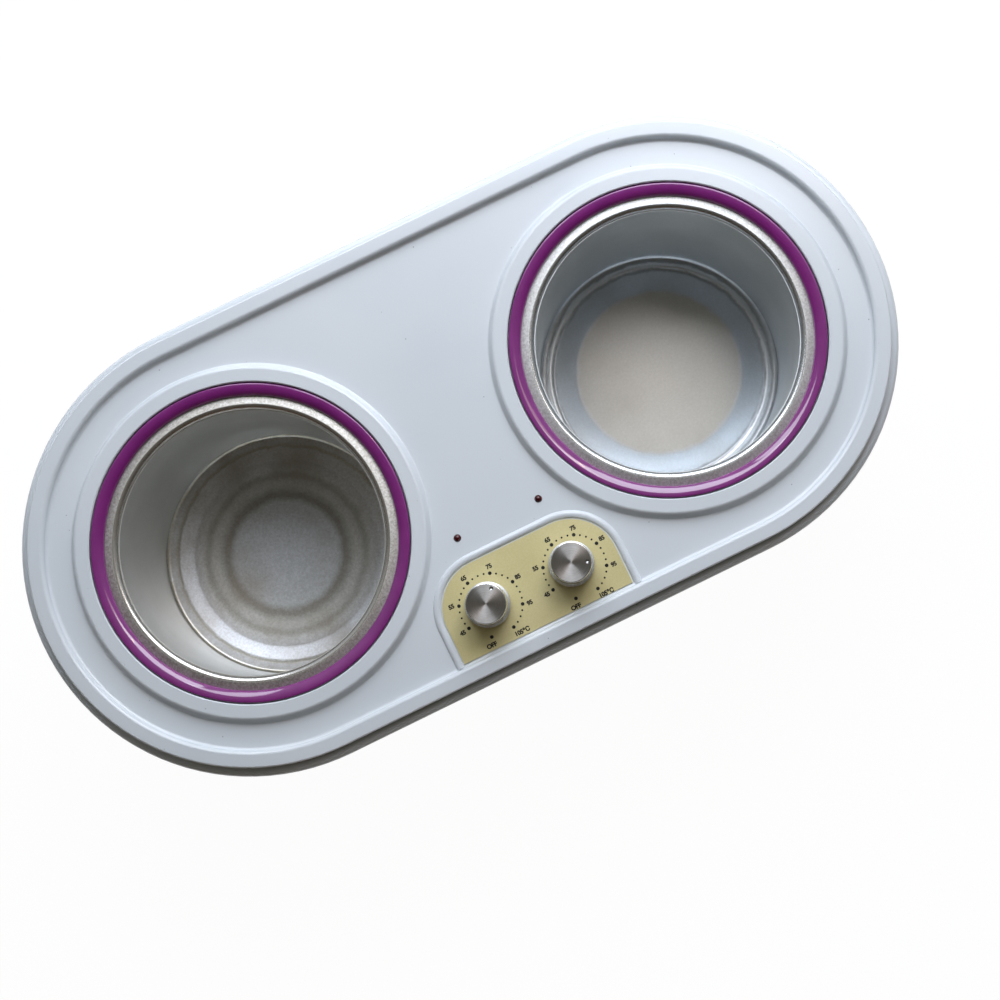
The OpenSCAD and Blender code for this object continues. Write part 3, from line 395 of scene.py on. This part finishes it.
# ------------------------------------------------------------------ wells
# Each well is deep drawn from 1.2 mm aluminium sheet. Its lip is rolled over, the
# rim is blasted, and a flange with three weld studs is pulled down on the collar.
WELL_X = 0.093                                   # m, distance of a well's axis from the middle
WALL_RADIUS = 53.5                               # mm, inside
LIP_START, LIP_EDGE, LIP_END = 53.6, 53.7, 53.9  # mm, radii where the wall turns into the wiped lip
BAND_START, BAND_END = 39.0, 43.0                # mm, radii between which the bottom gets smoother
RINGS_END = 60.0                                 # mm, radius at the end of the ramp of rings
RAGGED = 1.1                                     # mm by which a ring's edge wanders
BOTTOM_TOP = 0.0465                              # m: the bottom and its corner lie below it
RIM_LEVEL = 0.1187                               # m: the whole rim lies above it
RIM_START = 0.0558                               # m, radius where the lip is highest and the rim starts


def arc(x, z, radius, start, end, steps):
    """Points of an arc of a section, in millimetres and degrees."""
    turns = [math.radians(start + (end - start) * i / steps) for i in range(steps + 1)]
    return [(x + radius * math.cos(t), z + radius * math.sin(t)) for t in turns]


def turned(name, section, x, y, steps):
    """Draws a section of radii and heights in millimetres and spins it about an upright axis."""
    bpy.ops.object.select_all(action="DESELECT")
    bpy.ops.mesh.primitive_circle_add(vertices=3, radius=0.001)
    piece = bpy.context.object
    piece.name = name
    bpy.context.tool_settings.mesh_select_mode = (True, False, False)
    bpy.ops.object.mode_set(mode="EDIT")
    bpy.ops.mesh.select_all(action="SELECT")
    bpy.ops.mesh.merge(type="CENTER")
    bpy.ops.transform.translate(value=(x + section[0][0] / 1000, y, section[0][1] / 1000))
    for (radius, height), (next_radius, next_height) in zip(section, section[1:]):
        bpy.ops.mesh.extrude_region_move(TRANSFORM_OT_translate={
            "value": ((next_radius - radius) / 1000, 0, (next_height - height) / 1000)})
    bpy.ops.mesh.select_all(action="SELECT")
    bpy.ops.mesh.spin(steps=steps, angle=math.tau, center=(x, y, 0), axis=(0, 0, 1))
    bpy.ops.mesh.select_all(action="SELECT")
    bpy.ops.mesh.remove_doubles(threshold=0.000003)         # less than any step of a section
    bpy.ops.mesh.normals_make_consistent(inside=False)
    bpy.ops.object.mode_set(mode="OBJECT")
    return piece


def choose(piece, test):
    """Selects the faces of a piece whose middles pass a test, and nothing else."""
    bpy.ops.object.select_all(action="DESELECT")
    bpy.context.view_layer.objects.active = piece
    piece.select_set(True)
    for part in (piece.data.vertices, piece.data.edges):
        part.foreach_set("select", [False] * len(part))
    for face in piece.data.polygons:
        face.select = test(face.center, face.normal)
    bpy.context.tool_settings.mesh_select_mode = (False, False, True)


def finish_faces(piece, finish, test):
    """Gives the chosen faces another finish."""
    piece.data.materials.append(finish)
    choose(piece, test)
    bpy.ops.object.mode_set(mode="EDIT")
    piece.active_material_index = len(piece.data.materials) - 1
    bpy.ops.object.material_slot_assign()
    bpy.ops.object.mode_set(mode="OBJECT")


def about_axis(tree, x, y):
    """Object coordinates with their origin on an upright axis."""
    place = add(tree, "ShaderNodeTexCoord").outputs["Object"]
    return add(tree, "ShaderNodeMapping", {"Vector": place, "Location": (-x, -y, 0)}).outputs["Vector"]


def from_axis(tree, local):
    """The distance from that axis, in millimetres."""
    flat = add(tree, "ShaderNodeVectorMath", {0: local, 1: (1000, 1000, 0)}, operation="MULTIPLY")
    return add(tree, "ShaderNodeVectorMath", {0: flat}, operation="LENGTH").outputs["Value"]


def well_finishes(side, x, ring_shades_and_painted_light, dirt, wall_shades, lip_shade, rim_shades):
    """The three finishes of a well: satin wall, worn bottom with painted shade and reflection, and
    blasted rim.
    """
    # Drawn aluminium: pale grey and satin under a thin film of wax, with a soft cloudy sheen
    # and a very fine grain. The rolled lip is wiped clean, and is smoother and darker.
    wall, tree, shader = material("drawn_aluminium_" + side, {"Metallic": 0.9})
    local = about_axis(tree, x, 0)
    distance = from_axis(tree, local)
    cloud = add(tree, "ShaderNodeTexNoise", {"Vector": local, "Scale": 1000 / 25, "Detail": 3.0})
    grain = add(tree, "ShaderNodeTexNoise", {"Vector": local, "Scale": 1000 / 0.7, "Detail": 2.0})
    mixed = add(tree, "ShaderNodeMix", {"Factor": 0.35, "A": cloud, "B": grain})
    shades = add(tree, "ShaderNodeValToRGB", {"Fac": mixed}, stops=(
        (0.35, wall_shades[0]), (0.65, wall_shades[1])))
    bump = add(tree, "ShaderNodeBump", {"Height": grain, "Strength": 0.25, "Distance": 0.00006})
    worn = add(tree, "ShaderNodeMapRange", {"Value": cloud, "To Min": 0.42, "To Max": 0.5})
    lip = add(tree, "ShaderNodeMath", {0: distance, 1: LIP_EDGE}, operation="GREATER_THAN")
    shades = add(tree, "ShaderNodeMix", {"Factor": lip, "A": shades, "B": lip_shade}, data_type="RGBA")
    wiped = add(tree, "ShaderNodeMapRange",
                {"Value": distance, "From Min": LIP_START, "From Max": LIP_END, "To Max": 0.24})
    worn = add(tree, "ShaderNodeMath", {0: worn, 1: wiped}, operation="SUBTRACT")
    feed(tree, shader, {"Base Color": shades, "Roughness": worn, "Normal": bump})

    # The bottom has been scrubbed and heated for years: ragged rings of scale, a coarse mottle
    # and brown patches. Its ring shades also carry painted shade, darker in the grooves and the corner,
    # and a painted highlight and bluish reflection, lighter on the band, the bead and the ledge.
    # Its flat disc is duller than the band round it.
    bottom, tree, shader = material("worn_aluminium_and_painted_light_" + side, {"Metallic": 0.85})
    local = about_axis(tree, x, 0)
    distance = from_axis(tree, local)
    wander = add(tree, "ShaderNodeTexNoise", {"Vector": local, "Scale": 1000 / 5, "Detail": 3.0})
    wander = add(tree, "ShaderNodeMapRange", {"Value": wander, "To Min": -RAGGED, "To Max": RAGGED})
    ragged = add(tree, "ShaderNodeMath", {0: distance, 1: wander}, operation="ADD")
    across = add(tree, "ShaderNodeMath", {0: ragged, 1: RINGS_END}, operation="DIVIDE")
    # the ramp carries painted shade in the grooves and a painted highlight and reflection on the band,
    # bead and ledge, besides the scale
    bands_and_painted_light = add(tree, "ShaderNodeValToRGB", {"Fac": across},
                stops=[(radius / RINGS_END, shade) for radius, shade in ring_shades_and_painted_light])
    mottle = add(tree, "ShaderNodeTexNoise",
                 {"Vector": local, "Scale": 1000 / 1.0, "Detail": 4.0, "Roughness": 0.7})
    spots = add(tree, "ShaderNodeValToRGB", {"Fac": mottle}, stops=(
        (0.3, "#d9d6d1"), (0.7, "#ffffff")))
    shades = add(tree, "ShaderNodeMix", {"Factor": dirt, "A": bands_and_painted_light, "B": spots},
                 data_type="RGBA", blend_type="MULTIPLY")
    patches = add(tree, "ShaderNodeTexNoise", {"Vector": local, "Scale": 1000 / 28, "Detail": 3.0})
    patches = add(tree, "ShaderNodeMapRange",
                  {"Value": patches, "From Min": 0.45, "From Max": 0.7, "To Max": dirt * 0.6})
    shades = add(tree, "ShaderNodeMix", {"Factor": patches, "A": shades, "B": "#94897a"},
                 data_type="RGBA")
    bump = add(tree, "ShaderNodeBump", {"Height": mottle, "Strength": dirt * 0.3, "Distance": 0.00006})
    worn = add(tree, "ShaderNodeMapRange", {
        "Value": distance, "From Min": BAND_START, "From Max": BAND_END,
        "To Min": 0.5, "To Max": 0.36})
    feed(tree, shader, {"Base Color": shades, "Roughness": worn, "Normal": bump})

    # Blasted aluminium: a coarse, sparkling tooth of about 0.4 mm that catches light and dirt.
    rim, tree, shader = material("blasted_aluminium_" + side, {"Metallic": 0.9, "Roughness": 0.6})
    local = about_axis(tree, x, 0)
    grit = add(tree, "ShaderNodeTexNoise",
               {"Vector": local, "Scale": 1000 / 0.9, "Detail": 3.0, "Roughness": 0.75})
    shades = add(tree, "ShaderNodeValToRGB", {"Fac": grit}, stops=(
        (0.3, rim_shades[0]), (0.62, rim_shades[1])))
    bump = add(tree, "ShaderNodeBump", {"Height": grit, "Strength": 0.6, "Distance": 0.0001})
    feed(tree, shader, {"Base Color": shades, "Normal": bump})
    return wall, bottom, rim


# Sections, as radii and heights in millimetres, from the middle of the bottom outwards and back.
WALL_LEVELS = (60, 80, 100, 112, 118.3)
# rolled lip, sloping rim, flange, and the underside of all three
LIP = (arc(55.85, 118.6, 2.0, 180, 76, 16) + [
    (59.7, 119.56), (60.5, 118.8), (63.5, 118.8), (63.5, 117.6), (59.7, 117.6), (58.9, 118.52),
    (55.7, 119.32), (54.7, 117.16)])
WELL_BOTTOMS = {
    # disc, band that rises outwards, faint groove, ledge and corner of the left well
    "left": [(0, 42.6), (30, 42.6), (41.0, 42.6), (41.9, 42.75), (44.5, 43.3), (47.2, 43.95),
             (48.0, 44.1), (48.5, 44.0), (49.0, 44.1),
             (49.8, 44.25)] + arc(51.7, 46.3, 1.8, -90, 0, 8),
    # raised disc, band that falls outwards, shallow groove, low bead and corner of the right well
    "right": [(0, 44.2), (28, 44.2), (36.6, 44.2), (37.8, 44.05), (41, 43.4), (44, 42.8),
              (46.2, 42.45), (47.0, 42.4), (47.6, 42.5), (48.3, 43.0), (49.1, 43.2), (49.9, 43.05),
              (50.7, 42.85)] + arc(51.5, 44.9, 2.0, -90, 0, 8)}
WELL_UNDERSIDES = {
    "left": ([(54.7, 46.3)] + arc(51.7, 46.3, 3.0, 0, -90, 8)[1:]
             + [(47.9, 42.9), (41.0, 41.4), (0, 41.4)]),
    "right": [(54.7, 44.9)] + arc(51.7, 44.6, 3.0, 0, -90, 8)[1:] + [(48.0, 41.4), (0, 41.4)]}
# share of dirt, and shades of wall, lip and rim: the left well is browner, from burnt wax
WELL_SHADES = {
    "left": (0.9, ("#dfe1dd", "#ebece9"), "#cfccc6", ("#a39e93", "#d9d8d3")),
    "right": (0.35, ("#dfe5e8", "#ebf0f2"), "#c3c5c5", ("#b5b4b0", "#dcdddb"))}
# shades of the bottom's rings, by their radii in millimetres: rings of scale and a wax stain,
# with painted shade darker in the grooves and the corner, and a painted highlight and bluish
# reflection lighter on the band, the bead and the ledge
WELL_RINGS_AND_PAINTED_LIGHT = {
    "left": (
        # painted: the light bluish band at 42.6 to 47.4 and the ledge at 49.8 to 52.2, and the shade of
        # the groove at 48.3 to 49.0
        (0, "#c6cacf"), (23.0, "#c5c8ca"), (26.0, "#9c9a93"), (27.4, "#9f9d96"), (31.0, "#cbcbc8"),
        (33.2, "#c8c8c5"), (35.0, "#b3b2ac"), (36.2, "#b8b7b2"), (38.0, "#d0d1d0"), (41.0, "#cdced0"),
        (42.6, "#e2e6ec"), (47.4, "#e6eaef"), (48.3, "#c0bfb9"), (49.0, "#c6c5bf"), (49.8, "#d8dbdf"),
        (52.2, "#d8dadb"), (53.0, "#cfcab6"), (53.5, "#d4d6d6")),
    "right": (
        # painted: the bluish band at 38.4 to 46.0 and the bead's highlight at 48.4 to 50.0, and the
        # shade of the groove at 47.0 to 47.6 and of the corner at 50.9
        (0, "#c6c2b9"), (35.6, "#c0bdb5"), (38.4, "#c6cdd3"), (46.0, "#ccd3d9"), (47.0, "#a7adb2"),
        (47.6, "#adb2b6"), (48.4, "#dfe4e7"), (50.0, "#dbdfe2"), (50.9, "#a6aaad"), (52.2, "#bbbfc2"),
        (53.4, "#d6dadd"))}
# weld studs, in metres: three under the flange, and two under the bottom for the thermal cut-out
STUD_RADIUS = 0.0015
STUD_CHAMFER = 0.0004
FLANGE_STUD_CIRCLE, FLANGE_STUD_Z, FLANGE_STUD_LENGTH = 0.0613, 0.1143, 0.0074
CUTOUT_STUD_X, CUTOUT_STUD_Z, CUTOUT_STUD_LENGTH = 0.012, 0.03865, 0.0065

for side, x, outwards in (("left", -WELL_X, -1), ("right", WELL_X, 1)):
    wall = [(WALL_RADIUS, z) for z in WALL_LEVELS]
    section = WELL_BOTTOMS[side] + wall + [(53.85, 118.3)] + LIP + WELL_UNDERSIDES[side]
    well = turned(side + "_well_drawn", section, x, 0, steps=192)
    shaded(well, angle=40)
    studs = []
    for bearing in (60, 180, 300):
        angle = math.radians(bearing)
        studs.append((x + outwards * FLANGE_STUD_CIRCLE * math.cos(angle),
                      FLANGE_STUD_CIRCLE * math.sin(angle), FLANGE_STUD_Z, FLANGE_STUD_LENGTH))
    for stud_x in (x - CUTOUT_STUD_X, x + CUTOUT_STUD_X):
        studs.append((stud_x, 0, CUTOUT_STUD_Z, CUTOUT_STUD_LENGTH))
    for stud_x, stud_y, stud_z, length in studs:
        bpy.ops.object.select_all(action="DESELECT")
        bpy.ops.mesh.primitive_cylinder_add(vertices=24, radius=STUD_RADIUS, depth=length,
                                            location=(stud_x, stud_y, stud_z))
        stud = bpy.context.object
        bpy.ops.object.transform_apply(location=True, rotation=True, scale=True)
        choose(stud, lambda middle, normal: normal.z < -0.9)      # its lower end
        bpy.ops.object.mode_set(mode="EDIT")
        bpy.ops.mesh.bevel(offset=STUD_CHAMFER, segments=1)
        bpy.ops.object.mode_set(mode="OBJECT")
        well.select_set(True)
        bpy.context.view_layer.objects.active = well
        bpy.ops.object.join()
    wall_finish, bottom_finish, rim_finish = well_finishes(
        side, x, WELL_RINGS_AND_PAINTED_LIGHT[side], *WELL_SHADES[side])
    well.data.materials.append(wall_finish)
    finish_faces(well, bottom_finish, lambda middle, normal: middle.z < BOTTOM_TOP and normal.z > 0.05)
    finish_faces(well, rim_finish, lambda middle, normal: middle.z > RIM_LEVEL and normal.z > 0.3
                 and math.hypot(middle.x - x, middle.y) > RIM_START)
    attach(well, "body")
    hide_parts(side + "_well")


# ------------------------------------------------------------------ rings
# A glossy purple moulding lies on each well's flange, flush with the collar. It has
# a small round shoulder outside, and falls in a quarter round to the well's rim.
FALL_WIDTH, FALL_HEIGHT = 4.4, 2.7               # mm, of the quarter round
FALL = [(63.5 - FALL_WIDTH * math.sin(turn), 119.9 + FALL_HEIGHT * math.cos(turn))
        for turn in map(math.radians, range(5, 91, 5))]
RING_SECTION = ([(64.1, 118.8)] + arc(63.5, 122.0, 0.6, 0, 90, 6) + FALL
                + [(60.75, 119.6), (60.75, 118.8), (64.1, 118.8)])

# Purple plastic: deep, even and glossy, with the faintest cloudy flow marks.
purple, tree, shader = material("glossy_purple_plastic", {
    "Roughness": 0.1, "IOR": 1.52, "Coat Weight": 1.0, "Coat Roughness": 0.04})
place = add(tree, "ShaderNodeTexCoord").outputs["Object"]
flow = add(tree, "ShaderNodeTexNoise", {"Vector": place, "Scale": 1000 / 12, "Detail": 2.0})
shades = add(tree, "ShaderNodeValToRGB", {"Fac": flow}, stops=((0.3, "#75226f"), (0.7, "#7e2877")))
bump = add(tree, "ShaderNodeBump", {"Height": flow, "Strength": 0.05, "Distance": 0.0002})
feed(tree, shader, {"Base Color": shades, "Normal": bump})

for side, x in (("left", -WELL_X), ("right", WELL_X)):
    ring = turned(side + "_ring_moulding", RING_SECTION, x, 0, steps=192)
    shaded(ring, angle=50)
    ring.data.materials.append(purple)
    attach(ring, "body")
    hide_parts(side + "_ring")


# ------------------------------------------------------------------ control panel
# A thin plate, lacquered champagne gold and bonded to the deck inside the bead,
# with two dials screen printed in black round the holes of the spindles.

# Champagne lacquer: pale yellow gold, satin, with a faint sparkle of fine flakes.
lacquer, tree, shader = material("champagne_lacquer", {"Metallic": 0.25, "IOR": 1.5})
place = add(tree, "ShaderNodeTexCoord").outputs["Object"]
flakes = add(tree, "ShaderNodeTexNoise", {"Vector": place, "Scale": 1000 / 0.5, "Detail": 2.0})
cloud = add(tree, "ShaderNodeTexNoise", {"Vector": place, "Scale": 1000 / 18, "Detail": 2.0})
mixed = add(tree, "ShaderNodeMix", {"Factor": 0.5, "A": flakes, "B": cloud})
shades = add(tree, "ShaderNodeValToRGB", {"Fac": mixed}, stops=((0.3, "#d2c78f"), (0.7, "#dfd5a2")))
bump = add(tree, "ShaderNodeBump", {"Height": flakes, "Strength": 0.1, "Distance": 0.00004})
worn = add(tree, "ShaderNodeMapRange", {"Value": cloud, "To Min": 0.34, "To Max": 0.44})
feed(tree, shader, {"Base Color": shades, "Roughness": worn, "Normal": bump})
put(lacquer, "control_panel")

# Screen ink: black and slightly raised, thinner in places where the mesh printed badly.
ink, tree, shader = material("black_screen_ink", {"Roughness": 0.45})
place = add(tree, "ShaderNodeTexCoord").outputs["Object"]
cover = add(tree, "ShaderNodeTexNoise", {"Vector": place, "Scale": 1000 / 1.2, "Detail": 2.0})
shades = add(tree, "ShaderNodeValToRGB", {"Fac": cover}, stops=((0.5, "#0c0d0e"), (0.8, "#2c2a22")))
feed(tree, shader, {"Base Color": shades})

# the prints' sizes, in metres
DIALS = {"left": (-0.01758, -0.06487), "right": (0.01923, -0.06576)}   # their middles
PLATE_TOP = 0.1203
INK_THICKNESS = 0.00003
LETTER_SPREAD = 0.00012                          # by which the ink widens each stroke
DOT_CIRCLE = 0.0127                              # radius of the ring of dots
LARGE_DOT, SMALL_DOT = 0.00074, 0.0004           # radii
STEP = 45                                        # degrees from one large dot to the next
LARGE_BEARINGS = (246, 201, 156, 111, 66, 21, -24, -69.6)
# each label's distance from the dial's middle in mm, its bearing in degrees and its size in mm
LABELS = (("OFF", 16.1, 246, 2.496), ("45", 15.7, 199.5, 2.4), ("55", 15.7, 157, 2.4),
          ("65", 15.2, 110, 2.4), ("75", 15.4, 67, 2.4), ("85", 15.6, 20.5, 2.4),
          ("95", 15.6, -22.5, 2.4), ("105℃", 16.4, -65.6, 2.496))
for side, (x, y) in DIALS.items():
    prints = []
    dots = [(bearing, LARGE_DOT) for bearing in LARGE_BEARINGS]
    for start in LARGE_BEARINGS[1:-1]:
        dots += [(start - STEP * quarter / 4, SMALL_DOT) for quarter in (1, 2, 3)]
    for bearing, radius in dots:
        angle = math.radians(bearing)
        bpy.ops.object.select_all(action="DESELECT")
        bpy.context.tool_settings.mesh_select_mode = (True, False, False)
        bpy.ops.mesh.primitive_circle_add(vertices=20, radius=radius, fill_type="NGON", location=(
            x + DOT_CIRCLE * math.cos(angle), y + DOT_CIRCLE * math.sin(angle), PLATE_TOP))
        dot = bpy.context.object
        bpy.ops.object.transform_apply(location=True, rotation=True, scale=True)
        bpy.ops.object.mode_set(mode="EDIT")
        bpy.ops.mesh.select_all(action="SELECT")
        bpy.ops.mesh.extrude_region_move(TRANSFORM_OT_translate={"value": (0, 0, INK_THICKNESS)})
        bpy.ops.object.mode_set(mode="OBJECT")
        prints.append(dot)
    for words, distance, bearing, size in LABELS:
        angle = math.radians(bearing)
        bpy.ops.object.select_all(action="DESELECT")
        bpy.ops.object.text_add(location=(
            x + distance / 1000 * math.cos(angle), y + distance / 1000 * math.sin(angle), PLATE_TOP))
        label = bpy.context.object
        label.data.body = words
        label.data.size = size / 1000
        label.data.space_character = 0.95
        label.data.align_x = "CENTER"
        label.data.align_y = "CENTER"
        label.data.extrude = INK_THICKNESS
        label.data.offset = LETTER_SPREAD
        label.data.resolution_u = 4
        bpy.ops.object.convert(target="MESH")
        label = bpy.context.object
        bpy.ops.object.transform_apply(location=True, rotation=True, scale=True)
        prints.append(label)
    bpy.ops.object.select_all(action="DESELECT")
    for part in prints:
        part.select_set(True)
    bpy.context.view_layer.objects.active = prints[0]
    bpy.ops.object.join()
    dial_print = bpy.context.object
    dial_print.name = side + "_dial_print"
    dial_print.data.materials.clear()
    dial_print.data.materials.append(ink)
    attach(dial_print, "body")


# ------------------------------------------------------------------ knobs
# Each knob is turned from aluminium bar: a spun top, a polished edge, a straight side
# over a flared foot, and a small round dimple drilled in the top as its pointer.
KNOB_X = 0.0185                                  # m, distance of a knob's axis from the middle
KNOB_Y = -0.0643
# in mm: top and polished edge, side, flared foot, and the hollow underside with its boss
KNOB_SECTION = (
    [(0, 135.0), (3.5, 135.0), (7.6, 135.0)] + arc(7.65, 134.6, 0.4, 85, 10, 5)
    + [(8.1, 134.2), (8.25, 131.0), (8.35, 123.9)]
    + [(8.45, 123.5), (8.95, 123.15)] + arc(8.85, 122.85, 0.3, 60, 0, 4)
    + [(9.15, 121.25), (8.9, 121.0), (7.65, 121.0), (7.0, 132.4), (5.2, 132.4), (5.2, 122.0),
       (3.05, 122.0), (3.05, 132.4), (0, 132.4)])
DIMPLE_CIRCLE = 0.0063                           # m, distance of the dimple from the knob's axis
DIMPLE_RADIUS, DIMPLE_Z = 0.0009, 0.13535        # of the round drill that cuts it
SPUN_LEVEL = 0.1349                              # above it lies the spun top
FOOT_LEVEL = 0.124                               # below it lies the flared foot
MARKS = {"left": 44.7, "right": -23.0}           # bearings of the dimples at rest, in degrees

# Blasted aluminium: pale and matt, for the flared foot.
frosted, tree, shader = material("frosted_aluminium", {"Metallic": 1.0, "Roughness": 0.55})
place = add(tree, "ShaderNodeTexCoord").outputs["Object"]
frost = add(tree, "ShaderNodeTexNoise", {"Vector": place, "Scale": 1000 / 0.5, "Detail": 2.0})
shades = add(tree, "ShaderNodeValToRGB", {"Fac": frost}, stops=((0.3, "#d9dcdd"), (0.7, "#f3f4f4")))
bump = add(tree, "ShaderNodeBump", {"Height": frost, "Strength": 0.4, "Distance": 0.00006})
feed(tree, shader, {"Base Color": shades, "Normal": bump})

for side, x in (("left", -KNOB_X), ("right", KNOB_X)):
    # Spun aluminium: the tool's fine rings spread each light into a bright fan across the top.
    spun, tree, shader = material("spun_aluminium_" + side, {
        "Metallic": 1.0, "Roughness": 0.42, "Anisotropic": 0.93})
    local = about_axis(tree, x, KNOB_Y)
    radial = add(tree, "ShaderNodeVectorMath", {0: local, 1: (1, 1, 0)}, operation="MULTIPLY")
    radial = add(tree, "ShaderNodeVectorMath", {0: radial}, operation="NORMALIZE")
    grooves = add(tree, "ShaderNodeTexNoise",
                  {"W": from_axis(tree, local), "Scale": 5.0, "Detail": 3.0}, noise_dimensions="1D")
    smear = add(tree, "ShaderNodeTexNoise", {"Vector": local, "Scale": 1000 / 6, "Detail": 3.0})
    mixed = add(tree, "ShaderNodeMix", {"Factor": 0.5, "A": grooves, "B": smear})
    shades = add(tree, "ShaderNodeValToRGB", {"Fac": mixed}, stops=(
        (0.35, "#9b9893"), (0.65, "#c4c2bf")))
    bump = add(tree, "ShaderNodeBump", {"Height": grooves, "Strength": 0.3, "Distance": 0.00003})
    feed(tree, shader, {"Base Color": shades, "Normal": bump, "Tangent": radial})
    # Polished aluminium: nearly a mirror, for the edge, the side and the dimple.
    polished, tree, shader = material("polished_aluminium_" + side, {"Metallic": 1.0})
    local = about_axis(tree, x, KNOB_Y)
    smear = add(tree, "ShaderNodeTexNoise", {"Vector": local, "Scale": 1000 / 4, "Detail": 3.0})
    shades = add(tree, "ShaderNodeValToRGB", {"Fac": smear}, stops=(
        (0.3, "#c9cbcc"), (0.7, "#dddfe0")))
    worn = add(tree, "ShaderNodeMapRange", {"Value": smear, "To Min": 0.1, "To Max": 0.25})
    feed(tree, shader, {"Base Color": shades, "Roughness": worn})

    knob = turned(side + "_knob_turned", KNOB_SECTION, x, KNOB_Y, steps=128)
    knob.data.materials.append(polished)
    finish_faces(knob, spun, lambda middle, normal: normal.z > 0.99 and middle.z > SPUN_LEVEL)
    finish_faces(knob, frosted, lambda middle, normal: normal.z > 0.05 and middle.z < FOOT_LEVEL)
    angle = math.radians(MARKS[side])
    bpy.ops.object.select_all(action="DESELECT")
    bpy.ops.mesh.primitive_uv_sphere_add(segments=32, ring_count=16, radius=DIMPLE_RADIUS, location=(
        x + DIMPLE_CIRCLE * math.cos(angle), KNOB_Y + DIMPLE_CIRCLE * math.sin(angle), DIMPLE_Z))
    drill = bpy.context.object
    drill.data.materials.append(polished)
    bpy.ops.object.select_all(action="DESELECT")
    knob.select_set(True)
    bpy.context.view_layer.objects.active = knob
    dimple = knob.modifiers.new("dimple", "BOOLEAN")
    dimple.object = drill
    dimple.operation = "DIFFERENCE"
    dimple.solver = "EXACT"
    bpy.ops.object.modifier_apply(modifier="dimple")
    bpy.data.objects.remove(drill)
    shaded(knob, angle=28)
    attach(knob, side + "_dial")
    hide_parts(side + "_knob")


# ------------------------------------------------------------------ pilot lamps
# Each is a 3 mm lamp with a dark red dome. It stands on the board and comes up
# through a hole of the deck, between the panel and the middle of the heater.

# Red lens: nearly black where it is deep, ruby where light comes through the dome.
lens_red, tree, shader = material("ruby_lens", {
    "Roughness": 0.06, "IOR": 1.5, "Transmission Weight": 0.35})
place = add(tree, "ShaderNodeTexCoord").outputs["Object"]
depth = add(tree, "ShaderNodeTexNoise", {"Vector": place, "Scale": 1000 / 1.5, "Detail": 1.0})
shades = add(tree, "ShaderNodeValToRGB", {"Fac": depth}, stops=((0.35, "#3c060b"), (0.65, "#620f18")))
feed(tree, shader, {"Base Color": shades})
put(lens_red, "left_lamp", "right_lamp")
